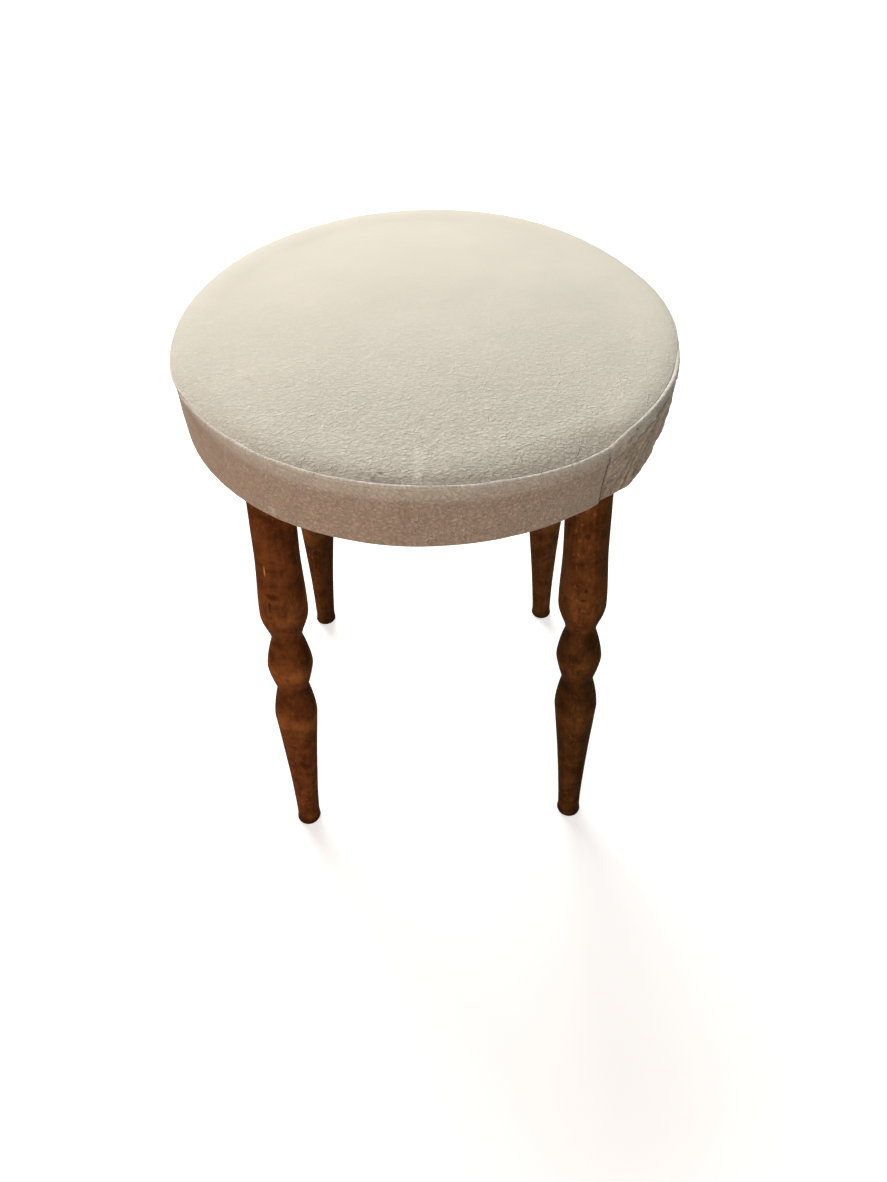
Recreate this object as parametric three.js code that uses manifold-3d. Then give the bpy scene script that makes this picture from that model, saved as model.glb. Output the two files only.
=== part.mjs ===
// Round upholstered vanity stool on four turned, splayed wooden legs, built as separate pieces.
// Sizes are millimetres and +Z is up. The origin is on the floor, under the middle of the seat.
// Azimuths run counter-clockwise from +X, and the front of the stool faces -Y.

import * as THREE from "three";
import { mergeVertices } from "three/addons/utils/BufferGeometryUtils.js";
import Module from "manifold-3d";

const wasm = await Module();
wasm.setup();

// Space between pieces, and how far a cutting tool runs past what it cuts
const gap = 0.3;
const cutOverrun = 5;

// Seat as a whole
const seatLowEdge = 404.6; // floor to the lower edge of the seat
const sideHeight = 45.4; // lower edge of the seat to the seam round its top
const seatRadius = 169.6; // over the cloth, at the lower edge
const crownRise = 14; // middle of the seat above that seam
const crownPower = 2.8; // the higher, the flatter the middle and the steeper the shoulder
const sideSwell = 1; // how far the side stands out half way down
const lowEdgeRound = 3; // where the cloth turns under the board
const seatSides = 36;

// Cover: top panel, side band with its lapped joint, and the welt between them
const clothThickness = 0.9;
const hemWidth = 30; // cloth turned in under the board
const allowanceRoll = 0.5; // soft roll of the seam allowance below the welt
const rollShare = 0.24;
const lapWidth = 14; // where the two ends of the side band lie over each other
const lapAzimuth = THREE.MathUtils.degToRad(-52.7);
const weltRadius = 1.5;
const weltInset = 0.2; // middle of the welt inside the seat's edge
const weltSink = 0.2; // middle of the welt below the seam line
const weltFlange = 8; // flat tail of the welt, sewn in behind the side band

// Padding
const waddingThickness = 3;
const padEdgeEase = 6; // soft edge of the padding under the welt

// Board and the cloth that closes the underside
const boardThickness = 18;
const boardTopRound = 1.5;
const dustThickness = 0.4;
const dustInset = 12; // edge of the dust cover inside the seat's edge

// Legs: where they stand, and the turning from the foot up
const legInset = 23.6; // leg axis inside the seat's edge, at the lower edge of the seat
const legSplay = THREE.MathUtils.degToRad(4.44);
const legSides = 18;
const footRadius = 10.9;
const footRound = 1.5;
const footFlare = 10;
const ankleRadius = 10.1;
const taperLength = 154;
const taperPower = 1.46;
const vaseRadius = 17.4;
const vaseFall = 35;
const lowNeckRadius = 12.2;
const beadRise = 27;
const beadRadius = 17.6;
const beadFall = 30;
const highNeckRadius = 11.6;
const swellRise = 29;
const swellRadius = 17.8;
const swellFall = 59;
const shaftRadius = 15.7;
const legTopRadius = 15.4;

// Fixing of each leg: a hanger bolt that screws into a flanged insert in the board
const boltRadius = 4;
const boltChamfer = 0.8;
const boltDrop = 2; // metal thread that runs down into the leg
const woodThreadRadius = 3.5;
const woodThreadLength = 36;
const boltTip = 6;
const boltEndSetback = 1; // end of the bolt below the top of the insert
const insertRadius = 6;
const insertSetback = 3; // board left under the insert
const insertFlangeRadius = 9.5;
const insertFlangeThickness = 1.6;
const metalSides = 12;

// Staples under the seat: an outer row through the hem and an inner row through the dust cover
const stapleWire = 1;
const stapleCrown = 10;
const stapleLeg = 7;
const hemStapleInset = 6.6;
const dustStapleInset = 4.6;
const staplesPerSide = 3; // between two legs, in each row

// Heights and radii that follow
const seamHeight = seatLowEdge + sideHeight;
const roundTop = seatLowEdge + lowEdgeRound;
const hemRadius = seatRadius - hemWidth;
const boardRadius = seatRadius - clothThickness - gap;
const boardBottom = seatLowEdge + clothThickness + gap;
const boardTop = boardBottom + boardThickness;
const padBottom = boardTop + gap;
const weltReach = seatRadius - weltInset;
const weltHeight = seamHeight - weltSink;
const dustTop = seatLowEdge - gap;
const dustBottom = dustTop - dustThickness;
const dustRadius = seatRadius - dustInset;
const legTop = dustBottom - gap;
const legTopReach = seatRadius - legInset;
const legLength = seatLowEdge / Math.cos(legSplay);

// Heights of the leg fixing, along the leg's own axis from the lower edge of the seat
const insertTop =
  (boardTop - seatLowEdge) / Math.cos(legSplay) - insertFlangeRadius * Math.tan(legSplay) - gap;
const insertBottom = insertTop - boardThickness + insertSetback;
const boltEnd = insertTop - boltEndSetback;
const boltPoint = -boltDrop - woodThreadLength - boltTip;

const corners = [
  { name: "front_left", azimuth: THREE.MathUtils.degToRad(225) },
  { name: "front_right", azimuth: THREE.MathUtils.degToRad(315) },
  { name: "back_right", azimuth: THREE.MathUtils.degToRad(45) },
  { name: "back_left", azimuth: THREE.MathUtils.degToRad(135) },
];

const material = (color, roughness, metalness) =>
  new THREE.MeshStandardMaterial({ color, roughness, metalness });
const cloth = material(0xd9d0bb, 0.92, 0);
const blackCloth = material(0x1c1b1a, 0.95, 0);
const fibre = material(0xf2f0ea, 1, 0);
const foam = material(0xe6d9a8, 1, 0);
const plywood = material(0xc09a66, 0.75, 0);
const stainedWood = material(0x58290f, 0.38, 0);
const zincSteel = material(0xa9abad, 0.35, 0.9);
const stapleSteel = material(0x8f9193, 0.4, 0.9);

// A closed mesh as a solid that can be cut and joined
function solidOf(geometry) {
  const bare = geometry.clone();
  bare.deleteAttribute("normal");
  bare.deleteAttribute("uv");
  const merged = mergeVertices(bare);
  const mesh = new wasm.Mesh({
    numProp: 3,
    vertProperties: merged.attributes.position.array,
    triVerts: new Uint32Array(merged.index.array),
  });
  return new wasm.Manifold(mesh);
}

// A solid back as a mesh with flat faces
function geometryOf(solid) {
  const mesh = solid.getMesh();
  const shared = new THREE.BufferGeometry();
  shared.setAttribute("position", new THREE.BufferAttribute(mesh.vertProperties, 3));
  shared.setIndex(new THREE.BufferAttribute(mesh.triVerts, 1));
  const geometry = shared.toNonIndexed();
  geometry.computeVertexNormals();
  return geometry;
}

const joined = (solids) => solids.reduce((all, next) => all.add(next));
const point = (radius, height) => new THREE.Vector2(radius, height);

// An outline of radius and height turned round +Z
function turned(outline, sides) {
  return new THREE.LatheGeometry(outline, sides).rotateX(Math.PI / 2);
}

// A shell turned from its outer and inner outlines, both given from the axis or the top outwards
function turnedShell(outer, inner, sides) {
  const outline = [...inner, ...outer.toReversed()];
  const isRing = inner[0].x > 0;
  return turned(isRing ? [...outline, outline[0]] : outline, sides);
}

// A rod along +Z between two heights
function rod(radius, fromHeight, toHeight, sides) {
  const length = toHeight - fromHeight;
  return new THREE.CylinderGeometry(radius, radius, length, sides)
    .rotateX(Math.PI / 2)
    .translate(0, 0, fromHeight + length / 2);
}

// A quarter circle from one angle to the next about a centre
function arc(centre, radius, fromAngle, toAngle, steps) {
  return Array.from({ length: steps + 1 }, (_, i) => {
    const angle = fromAngle + ((toAngle - fromAngle) * i) / steps;
    return point(centre.x + radius * Math.cos(angle), centre.y + radius * Math.sin(angle));
  });
}

// Half a cosine wave from 0 to 1, the sweep that a turner's gouge leaves between two radii
const sweep = (share) => (1 - Math.cos(Math.PI * share)) / 2;

// A piece made along +Z about the seat's lower edge, leant like a leg that stands towards +X
function lean(geometry) {
  return geometry.rotateY(-legSplay).translate(legTopReach, 0, seatLowEdge);
}

function piece(name, geometry, finish) {
  const mesh = new THREE.Mesh(geometry, finish);
  mesh.name = name;
  return mesh;
}

// The hole that each hanger bolt needs through cloth and dust cover, for all four legs
function boltHoles() {
  const hole = lean(rod(boltRadius + gap, -boltDrop - cutOverrun, insertTop, metalSides));
  return joined(corners.map(({ azimuth }) => solidOf(hole.clone().rotateZ(azimuth))));
}

// Staple places: azimuths spread evenly between each pair of legs
function stapleAzimuths() {
  const quarter = (2 * Math.PI) / corners.length;
  return corners.flatMap(({ azimuth }) =>
    Array.from(
      { length: staplesPerSide },
      (_, i) => azimuth + (quarter * (i + 1)) / (staplesPerSide + 1),
    ),
  );
}

const stapleRows = [
  { name: "hem_staple", reach: seatRadius - hemStapleInset, height: seatLowEdge - gap },
  { name: "dust_cover_staple", reach: dustRadius - dustStapleInset, height: dustBottom - gap },
];

// The holes that the legs of one row of staples make in what they hold
function stapleHoles({ reach, height }) {
  const width = stapleWire + 2 * gap;
  const depth = stapleLeg + gap + cutOverrun;
  const side = (stapleCrown - stapleWire) / 2;
  const pair = [side, -side].map((y) =>
    new THREE.BoxGeometry(width, width, depth).translate(
      reach,
      y,
      height - cutOverrun + depth / 2,
    ),
  );
  return joined(
    stapleAzimuths().flatMap((azimuth) =>
      pair.map((hole) => solidOf(hole.clone().rotateZ(azimuth))),
    ),
  );
}

// Height of the crowned top at a radius, at the face of the cloth
function crownHeight(radius) {
  return seamHeight + crownRise * (1 - Math.pow(radius / seatRadius, crownPower));
}

// Swell of the side at a height, without the roll of the seam allowance
function sideSwellAt(height) {
  const share = Math.min(1, (seamHeight - height) / (seamHeight - roundTop));
  return sideSwell * Math.sin(Math.PI * share);
}

// Roll of the seam allowance, which shows as a soft band below the welt
function rollAt(height) {
  const share = (seamHeight - height) / (seamHeight - roundTop) / rollShare;
  return share < 1 ? allowanceRoll * Math.sin(Math.PI * share) : 0;
}

// Crowned top from the axis to a radius, lowered by an inset
function crownOutline(toRadius, inset) {
  const reachShares = [0, 0.35, 0.6, 0.78, 0.9, 1];
  return reachShares.map((share) =>
    point(toRadius * share, crownHeight(toRadius * share) - inset),
  );
}

// Side of the cover from below the welt, round the lower edge, and on to an end radius under it
function bandOutline(inset, endRadius) {
  const top = weltHeight - weltRadius - gap;
  const depthShares = [0, 0.1, 0.26, 0.6];
  const side = depthShares.map((share) => {
    const height = top + (roundTop - top) * share;
    return point(seatRadius + sideSwellAt(height) + rollAt(height) - inset, height);
  });
  const centre = point(seatRadius - lowEdgeRound, roundTop);
  const turn = arc(centre, lowEdgeRound - inset, 0, -Math.PI / 2, 2);
  return [...side, ...turn, point(endRadius, seatLowEdge + inset)];
}

// Outline of padding under the cover: crowned, with a soft edge, down to a height
function padOutline(topInset, sideInset, bottom) {
  const reach = seatRadius - sideInset;
  const edge = crownHeight(reach) - topInset;
  const easeEnd = edge - padEdgeEase;
  const ease = new THREE.QuadraticBezierCurve(
    point(reach - padEdgeEase, crownHeight(reach - padEdgeEase) - topInset),
    point(reach, edge),
    point(reach + sideSwellAt(easeEnd), easeEnd),
  ).getPoints(3);
  const middle = (easeEnd + bottom) / 2;
  return [
    ...crownOutline(reach - padEdgeEase, topInset).slice(0, -1),
    ...ease,
    point(reach + sideSwellAt(middle), middle),
    point(reach, bottom),
  ];
}

function seatBoard() {
  const bottomRound = lowEdgeRound - clothThickness - gap;
  const lowCentre = point(boardRadius - bottomRound, boardBottom + bottomRound);
  const topCentre = point(boardRadius - boardTopRound, boardTop - boardTopRound);
  const disc = solidOf(
    turned(
      [
        point(0, boardBottom),
        ...arc(lowCentre, bottomRound, -Math.PI / 2, 0, 2),
        ...arc(topCentre, boardTopRound, 0, Math.PI / 2, 2),
        point(0, boardTop),
      ],
      seatSides,
    ),
  );
  const seatHeight = insertTop - insertFlangeThickness - gap;
  const bore = lean(rod(insertRadius + gap, -cutOverrun, insertTop + cutOverrun, metalSides));
  const spotFace = lean(
    rod(insertFlangeRadius + gap, seatHeight, insertTop + cutOverrun, metalSides),
  );
  const sockets = corners.flatMap(({ azimuth }) =>
    [bore, spotFace].map((hole) => solidOf(hole.clone().rotateZ(azimuth))),
  );
  const holes = joined([...sockets, ...stapleRows.map(stapleHoles)]);
  return piece("seat_board", geometryOf(disc.subtract(holes)), plywood);
}

function foamPad() {
  const inset = clothThickness + gap + waddingThickness + gap;
  const outline = padOutline(inset, inset + clothThickness + gap, padBottom);
  const profile = [...outline, point(0, padBottom)].toReversed();
  return piece("foam_pad", turned(profile, seatSides), foam);
}

function waddingLayer() {
  const inset = clothThickness + gap;
  const outer = padOutline(inset, 2 * inset, padBottom);
  const inner = padOutline(
    inset + waddingThickness,
    2 * inset + waddingThickness,
    padBottom,
  );
  return piece("wadding_layer", turnedShell(outer, inner, seatSides), fibre);
}

function coverTopPanel() {
  const reach = weltReach - weltRadius - gap;
  const panel = turnedShell(
    crownOutline(reach, 0),
    crownOutline(reach, clothThickness),
    seatSides,
  );
  return piece("cover_top_panel", panel, cloth);
}

// The overlapping end of the side band, a second layer of cloth that stops at the joint
function bandLap() {
  const lapEnd = seatRadius - lowEdgeRound;
  const layer = turnedShell(
    bandOutline(-clothThickness, lapEnd),
    bandOutline(clothThickness / 2, lapEnd),
    seatSides,
  );
  const lapAngle = lapWidth / seatRadius;
  const far = 2 * seatRadius;
  const wedge = new THREE.Shape([
    point(0, 0),
    point(far * Math.cos(lapAzimuth - lapAngle), far * Math.sin(lapAzimuth - lapAngle)),
    point(far * Math.cos(lapAzimuth), far * Math.sin(lapAzimuth)),
  ]);
  const prism = new THREE.ExtrudeGeometry(wedge, { depth: 2 * seamHeight, bevelEnabled: false });
  return solidOf(layer).intersect(solidOf(prism));
}

function coverSideBand() {
  const band = turnedShell(
    bandOutline(0, hemRadius),
    bandOutline(clothThickness, hemRadius),
    seatSides,
  );
  const holes = joined([boltHoles(), ...stapleRows.map(stapleHoles)]);
  const whole = solidOf(band).add(bandLap()).subtract(holes);
  return piece("cover_side_band", geometryOf(whole), cloth);
}

// A cord covered in the seat's cloth, with the flat tail that is sewn in behind the side band
function seatWelt() {
  const cord = turned(
    arc(point(weltReach, weltHeight), weltRadius, 0, 2 * Math.PI, 8),
    seatSides,
  );
  const outer = seatRadius - clothThickness - gap;
  const heights = [weltHeight - weltRadius / 2, weltHeight - weltFlange];
  const face = (inset) => heights.map((z) => point(outer + sideSwellAt(z) - inset, z));
  const tail = turnedShell(face(0), face(clothThickness), seatSides);
  return piece("seat_welt", geometryOf(solidOf(cord).add(solidOf(tail))), cloth);
}

function dustCover() {
  const sheet = solidOf(
    turned(
      [
        point(0, dustBottom),
        point(dustRadius, dustBottom),
        point(dustRadius, dustTop),
        point(0, dustTop),
      ],
      seatSides,
    ),
  );
  const holes = joined([boltHoles(), stapleHoles(stapleRows[1])]);
  return piece("dust_cover", geometryOf(sheet.subtract(holes)), blackCloth);
}

// Turned outline of a leg from below the floor up, about the lower edge of the seat
function legOutline() {
  const start = -legLength - footRadius * Math.tan(legSplay);
  const outline = [
    point(0, start),
    ...arc(point(footRadius - footRound, start + footRound), footRound, -Math.PI / 2, 0, 2),
  ];
  let height = start + footRound;
  const turnTo = (length, radius, steps, shape) => {
    const from = outline.at(-1).x;
    for (let i = 1; i <= steps; i++) {
      const share = i / steps;
      outline.push(point(from + (radius - from) * shape(share), height + length * share));
    }
    height += length;
  };
  turnTo(footFlare, ankleRadius, 2, sweep);
  turnTo(taperLength, vaseRadius, 6, (share) => Math.pow(share, taperPower));
  turnTo(vaseFall, lowNeckRadius, 6, sweep);
  turnTo(beadRise, beadRadius, 5, sweep);
  turnTo(beadFall, highNeckRadius, 5, sweep);
  turnTo(swellRise, swellRadius, 5, sweep);
  turnTo(swellFall, shaftRadius, 4, sweep);
  outline.push(point(legTopRadius, cutOverrun), point(0, cutOverrun));
  return outline;
}

// One leg towards +X, cut flat where it meets the floor and the seat, and bored for its bolt
function legGeometry() {
  const width = 4 * seatRadius;
  const below = new THREE.BoxGeometry(width, width, seatLowEdge).translate(0, 0, -seatLowEdge / 2);
  const above = below.clone().translate(0, 0, legTop + seatLowEdge);
  const bore = lean(rod(boltRadius + gap, boltPoint - gap, cutOverrun, metalSides));
  const stick = solidOf(lean(turned(legOutline(), legSides)));
  return geometryOf(stick.subtract(joined([below, above, bore].map(solidOf))));
}

// Hanger bolt: wood thread down into the leg, metal thread up into the insert
function boltGeometry() {
  const outline = [
    point(0, boltPoint),
    point(woodThreadRadius, boltPoint + boltTip),
    point(woodThreadRadius, -boltDrop),
    point(boltRadius, -boltDrop),
    point(boltRadius, boltEnd - boltChamfer),
    point(boltRadius - boltChamfer, boltEnd),
    point(0, boltEnd),
  ];
  return lean(turned(outline, metalSides));
}

// Flanged insert that holds the bolt in the board, put in from above
function insertGeometry() {
  const flangeUnder = insertTop - insertFlangeThickness;
  const bore = boltRadius + gap;
  const outline = [
    point(bore, insertBottom),
    point(insertRadius, insertBottom),
    point(insertRadius, flangeUnder),
    point(insertFlangeRadius, flangeUnder),
    point(insertFlangeRadius, insertTop),
    point(bore, insertTop),
    point(bore, insertBottom),
  ];
  return lean(turned(outline, metalSides));
}

// One staple with its crown across +Y, open end up
function stapleGeometry() {
  const half = stapleCrown / 2;
  const inner = half - stapleWire;
  const outline = new THREE.Shape([
    point(-half, -stapleWire),
    point(half, -stapleWire),
    point(half, stapleLeg),
    point(inner, stapleLeg),
    point(inner, 0),
    point(-inner, 0),
    point(-inner, stapleLeg),
    point(-half, stapleLeg),
  ]);
  return new THREE.ExtrudeGeometry(outline, { depth: stapleWire, bevelEnabled: false })
    .translate(0, 0, -stapleWire / 2)
    .rotateX(Math.PI / 2)
    .rotateZ(Math.PI / 2);
}

function seat() {
  const group = new THREE.Group();
  group.add(
    seatBoard(),
    foamPad(),
    waddingLayer(),
    coverTopPanel(),
    coverSideBand(),
    seatWelt(),
    dustCover(),
  );
  return group;
}

function legs() {
  const group = new THREE.Group();
  const leg = legGeometry();
  const bolt = boltGeometry();
  const insert = insertGeometry();
  corners.forEach(({ name, azimuth }) => {
    const corner = new THREE.Group();
    corner.rotation.z = azimuth;
    corner.add(
      piece(`leg_${name}`, leg, stainedWood),
      piece(`hanger_bolt_${name}`, bolt, zincSteel),
      piece(`insert_nut_${name}`, insert, zincSteel),
    );
    group.add(corner);
  });
  return group;
}

function staples() {
  const group = new THREE.Group();
  const staple = stapleGeometry();
  stapleRows.forEach(({ name, reach, height }) => {
    stapleAzimuths().forEach((azimuth, i) => {
      const place = new THREE.Group();
      place.rotation.z = azimuth;
      const mesh = piece(`${name}_${i + 1}`, staple, stapleSteel);
      mesh.position.set(reach, 0, height);
      place.add(mesh);
      group.add(place);
    });
  });
  return group;
}

const stool = new THREE.Group();
stool.add(seat(), legs(), staples());

export default stool;
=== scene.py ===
"""Looks of the round vanity stool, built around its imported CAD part.

Lengths are metres and +Z is up. The origin is on the floor, under the middle of the seat, and the
front of the stool faces -Y. Azimuths run counter-clockwise from +X. The seat's padding is swollen
by a cloth simulation, the cover is laid over it, and the legs, welt, staples and stitches are made
with Geometry Nodes.
"""

import logging
import math
from collections.abc import Sequence
from dataclasses import dataclass
from enum import Enum

import bpy
import numpy as np
from mathutils import Matrix, Vector, noise
from mathutils.bvhtree import BVHTree


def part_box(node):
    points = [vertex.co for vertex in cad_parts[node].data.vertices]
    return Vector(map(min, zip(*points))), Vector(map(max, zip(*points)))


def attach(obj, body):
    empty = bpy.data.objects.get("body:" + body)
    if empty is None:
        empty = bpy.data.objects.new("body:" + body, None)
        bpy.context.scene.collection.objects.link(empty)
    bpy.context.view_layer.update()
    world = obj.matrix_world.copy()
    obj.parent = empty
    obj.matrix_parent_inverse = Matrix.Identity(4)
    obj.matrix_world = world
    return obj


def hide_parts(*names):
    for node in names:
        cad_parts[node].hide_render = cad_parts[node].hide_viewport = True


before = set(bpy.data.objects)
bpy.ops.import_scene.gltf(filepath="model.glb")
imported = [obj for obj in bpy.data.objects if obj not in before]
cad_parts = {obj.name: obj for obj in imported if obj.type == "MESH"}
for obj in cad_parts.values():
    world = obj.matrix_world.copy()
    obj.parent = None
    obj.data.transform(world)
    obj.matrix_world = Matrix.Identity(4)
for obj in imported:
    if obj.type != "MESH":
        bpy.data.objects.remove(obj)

MM = 0.001
BODY = "root"
LOG = logging.getLogger("vanity_stool")

Array = np.ndarray
Paint = bpy.types.Material
Piece = bpy.types.Object
Socket = bpy.types.NodeSocket
Colour = tuple[float, float, float]
Term = "Value | float"
Ends = tuple[float, float]
Span = tuple[float, float, float, float]
Table = tuple[tuple[float, float], ...]
Rings = tuple[tuple[float, float, float], ...]


class Value:
    """A number socket that takes part in Python arithmetic by adding Math nodes."""

    def __init__(self, tree: "NodeTree", socket: Socket) -> None:
        """Wraps a socket of a tree."""
        self.tree = tree
        self.socket = socket

    def __add__(self, other: Term) -> "Value":
        """Sum of the two."""
        return self.tree.math("ADD", self, other)

    __radd__ = __add__

    def __sub__(self, other: Term) -> "Value":
        """This less the other."""
        return self.tree.math("SUBTRACT", self, other)

    def __rsub__(self, other: Term) -> "Value":
        """The other less this."""
        return self.tree.math("SUBTRACT", other, self)

    def __mul__(self, other: Term) -> "Value":
        """Product of the two."""
        return self.tree.math("MULTIPLY", self, other)

    __rmul__ = __mul__

    def __truediv__(self, other: Term) -> "Value":
        """This divided by the other."""
        return self.tree.math("DIVIDE", self, other)

    def __pow__(self, power: Term) -> "Value":
        """This raised to a power."""
        return self.tree.math("POWER", self, power)


class Triple:
    """A vector or colour socket that takes part in Python arithmetic by adding Vector Math nodes."""

    def __init__(self, tree: "NodeTree", socket: Socket) -> None:
        """Wraps a socket of a tree."""
        self.tree = tree
        self.socket = socket

    def __add__(self, other: "Triple | Sequence[float]") -> "Triple":
        """Sum of the two, part by part."""
        return self.tree.vector_math("ADD", self, other)

    def __mul__(self, other: "Triple | Value | Sequence[float] | float") -> "Triple":
        """Product with a number, or with another triple part by part."""
        if isinstance(other, Triple | tuple):
            return self.tree.vector_math("MULTIPLY", self, other)
        sockets = {"Vector": self, "Scale": other}
        return self.tree.node("ShaderNodeVectorMath", {"operation": "SCALE"}, sockets).triple()

    def parts(self) -> tuple[Value, Value, Value]:
        """The three numbers of the triple."""
        made = self.tree.node("ShaderNodeSeparateXYZ", {}, {"Vector": self})
        return made.number("X"), made.number("Y"), made.number("Z")


class Made:
    """A node that was added to a tree, with its outputs wrapped on request."""

    def __init__(self, tree: "NodeTree", node: bpy.types.Node) -> None:
        """Wraps a node of a tree."""
        self.tree = tree
        self.node = node

    def number(self, key: str | int = 0) -> Value:
        """One of the node's outputs as a number."""
        return Value(self.tree, self.node.outputs[key])

    def triple(self, key: str | int = 0) -> Triple:
        """One of the node's outputs as a vector or colour."""
        return Triple(self.tree, self.node.outputs[key])

    def out(self, key: str | int = 0) -> Socket:
        """One of the node's outputs as it is, such as geometry or a shader."""
        return self.node.outputs[key]


class NodeTree:
    """A shader or geometry tree, with each node's settings and sockets given in one call."""

    def __init__(self, nodes: bpy.types.NodeTree) -> None:
        """Wraps a node tree."""
        self.nodes = nodes

    @classmethod
    def cleared(cls, owner: Paint | bpy.types.World) -> "NodeTree":
        """The shader tree of a material or world, emptied."""
        owner.use_nodes = True
        owner.node_tree.nodes.clear()
        return cls(owner.node_tree)

    def node(self, kind: str, settings: dict | None = None, sockets: dict | None = None) -> Made:
        """Adds one node.

        Args:
            kind: The node's type.
            settings: Its properties by name.
            sockets: What goes into its inputs, by name or number, as a value or a link.

        Returns:
            The node, wrapped.
        """
        made = self.nodes.nodes.new(kind)
        for name, value in (settings or {}).items():
            setattr(made, name, value)
        for key, value in (sockets or {}).items():
            self.feed(made.inputs[key], value)
        return Made(self, made)

    def feed(self, socket: Socket, value: object) -> None:
        """Links a wrapped or bare socket to an input, or sets the input's own value."""
        if isinstance(value, Value | Triple):
            self.nodes.links.new(value.socket, socket)
        elif isinstance(value, Socket):
            self.nodes.links.new(value, socket)
        elif socket.type == "RGBA":
            socket.default_value = (*value, 1.0)
        else:
            socket.default_value = value

    def math(self, operation: str, *terms: Term) -> Value:
        """The result of a Math node on numbers or values."""
        return self.node("ShaderNodeMath", {"operation": operation}, dict(enumerate(terms))).number()

    def vector_math(self, operation: str, *terms: "Triple | Sequence[float]") -> Triple:
        """The result of a Vector Math node on triples."""
        settings, sockets = {"operation": operation}, dict(enumerate(terms))
        return self.node("ShaderNodeVectorMath", settings, sockets).triple()

    def vector(self, x: Term, y: Term, z: Term) -> Triple:
        """A vector of three numbers or values."""
        return self.node("ShaderNodeCombineXYZ", {}, {"X": x, "Y": y, "Z": z}).triple()

    def rise(self, value: Value, start: Term, end: Term, smooth: bool = True) -> Value:
        """A share that rises from 0 to 1 as a value runs from start to end, and stays there."""
        settings = {"interpolation_type": "SMOOTHSTEP" if smooth else "LINEAR"}
        sockets = {"Value": value, "From Min": start, "From Max": end}
        return self.node("ShaderNodeMapRange", settings, sockets).number()

    def bell(self, value: Value, centre: float, width: float) -> Value:
        """A share that is 1 where a value is at the centre, and falls off smoothly on both sides."""
        away = (value - centre) / width
        return self.math("EXPONENT", away * away * -1.0)

    def mix(self, share: Term, low: "Triple | Colour", high: "Triple | Colour") -> Triple:
        """A mix of two colours by a share of the second."""
        return self.node("ShaderNodeMix", {"data_type": "RGBA"}, {0: share, 6: low, 7: high}).triple(2)

    def noise(self, place: Triple, grain: float, detail: float = 2.0, roughness: float = 0.5) -> Value:
        """Soft random values round 0.5, with grains of a given size in the units of the place."""
        sockets = {"Vector": place, "Scale": 1 / grain, "Detail": detail, "Roughness": roughness}
        return self.node("ShaderNodeTexNoise", {}, sockets).number("Fac")

    def jitter(self, place: Triple, grain: float, reach: float) -> Triple:
        """A place moved at random by up to about the reach, smoothly over a grain."""
        sockets = {"Vector": place, "Scale": 1 / grain, "Detail": 2.0}
        cloud = self.node("ShaderNodeTexNoise", {}, sockets).triple("Color")
        return place + (cloud + (-0.5, -0.5, -0.5)) * (2 * reach)

    def bump(self, height: Value, strength: float) -> Triple:
        """A normal from a height in millimetres."""
        sockets = {"Strength": strength, "Distance": MM, "Height": height}
        return self.node("ShaderNodeBump", {}, sockets).triple()


@dataclass(frozen=True)
class Surface:
    """What a finish gives its shader: what varies over the surface, and the constants."""

    colour: Triple
    roughness: Value
    normal: Triple
    constants: dict[str, float | tuple[float, ...]]


@dataclass(frozen=True)
class Finish:
    """A procedural material. Each kind of finish says how its surface is painted."""

    name: str

    def paint(self, tree: NodeTree) -> Surface:
        """Paints the surface with nodes of the tree."""
        raise NotImplementedError

    def material(self) -> Paint:
        """Makes the material."""
        made = bpy.data.materials.new(self.name)
        tree = NodeTree.cleared(made)
        surface = self.paint(tree)
        sockets = {"Base Color": surface.colour, "Roughness": surface.roughness, "Normal": surface.normal}
        shader = tree.node("ShaderNodeBsdfPrincipled", {}, sockets | surface.constants)
        tree.node("ShaderNodeOutputMaterial", {}, {"Surface": shader.out()})
        return made

    @staticmethod
    def place(tree: NodeTree) -> Triple:
        """The place on the piece, in millimetres of the object's own frame."""
        return tree.node("ShaderNodeTexCoord").triple("Object") * (1 / MM)


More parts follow.
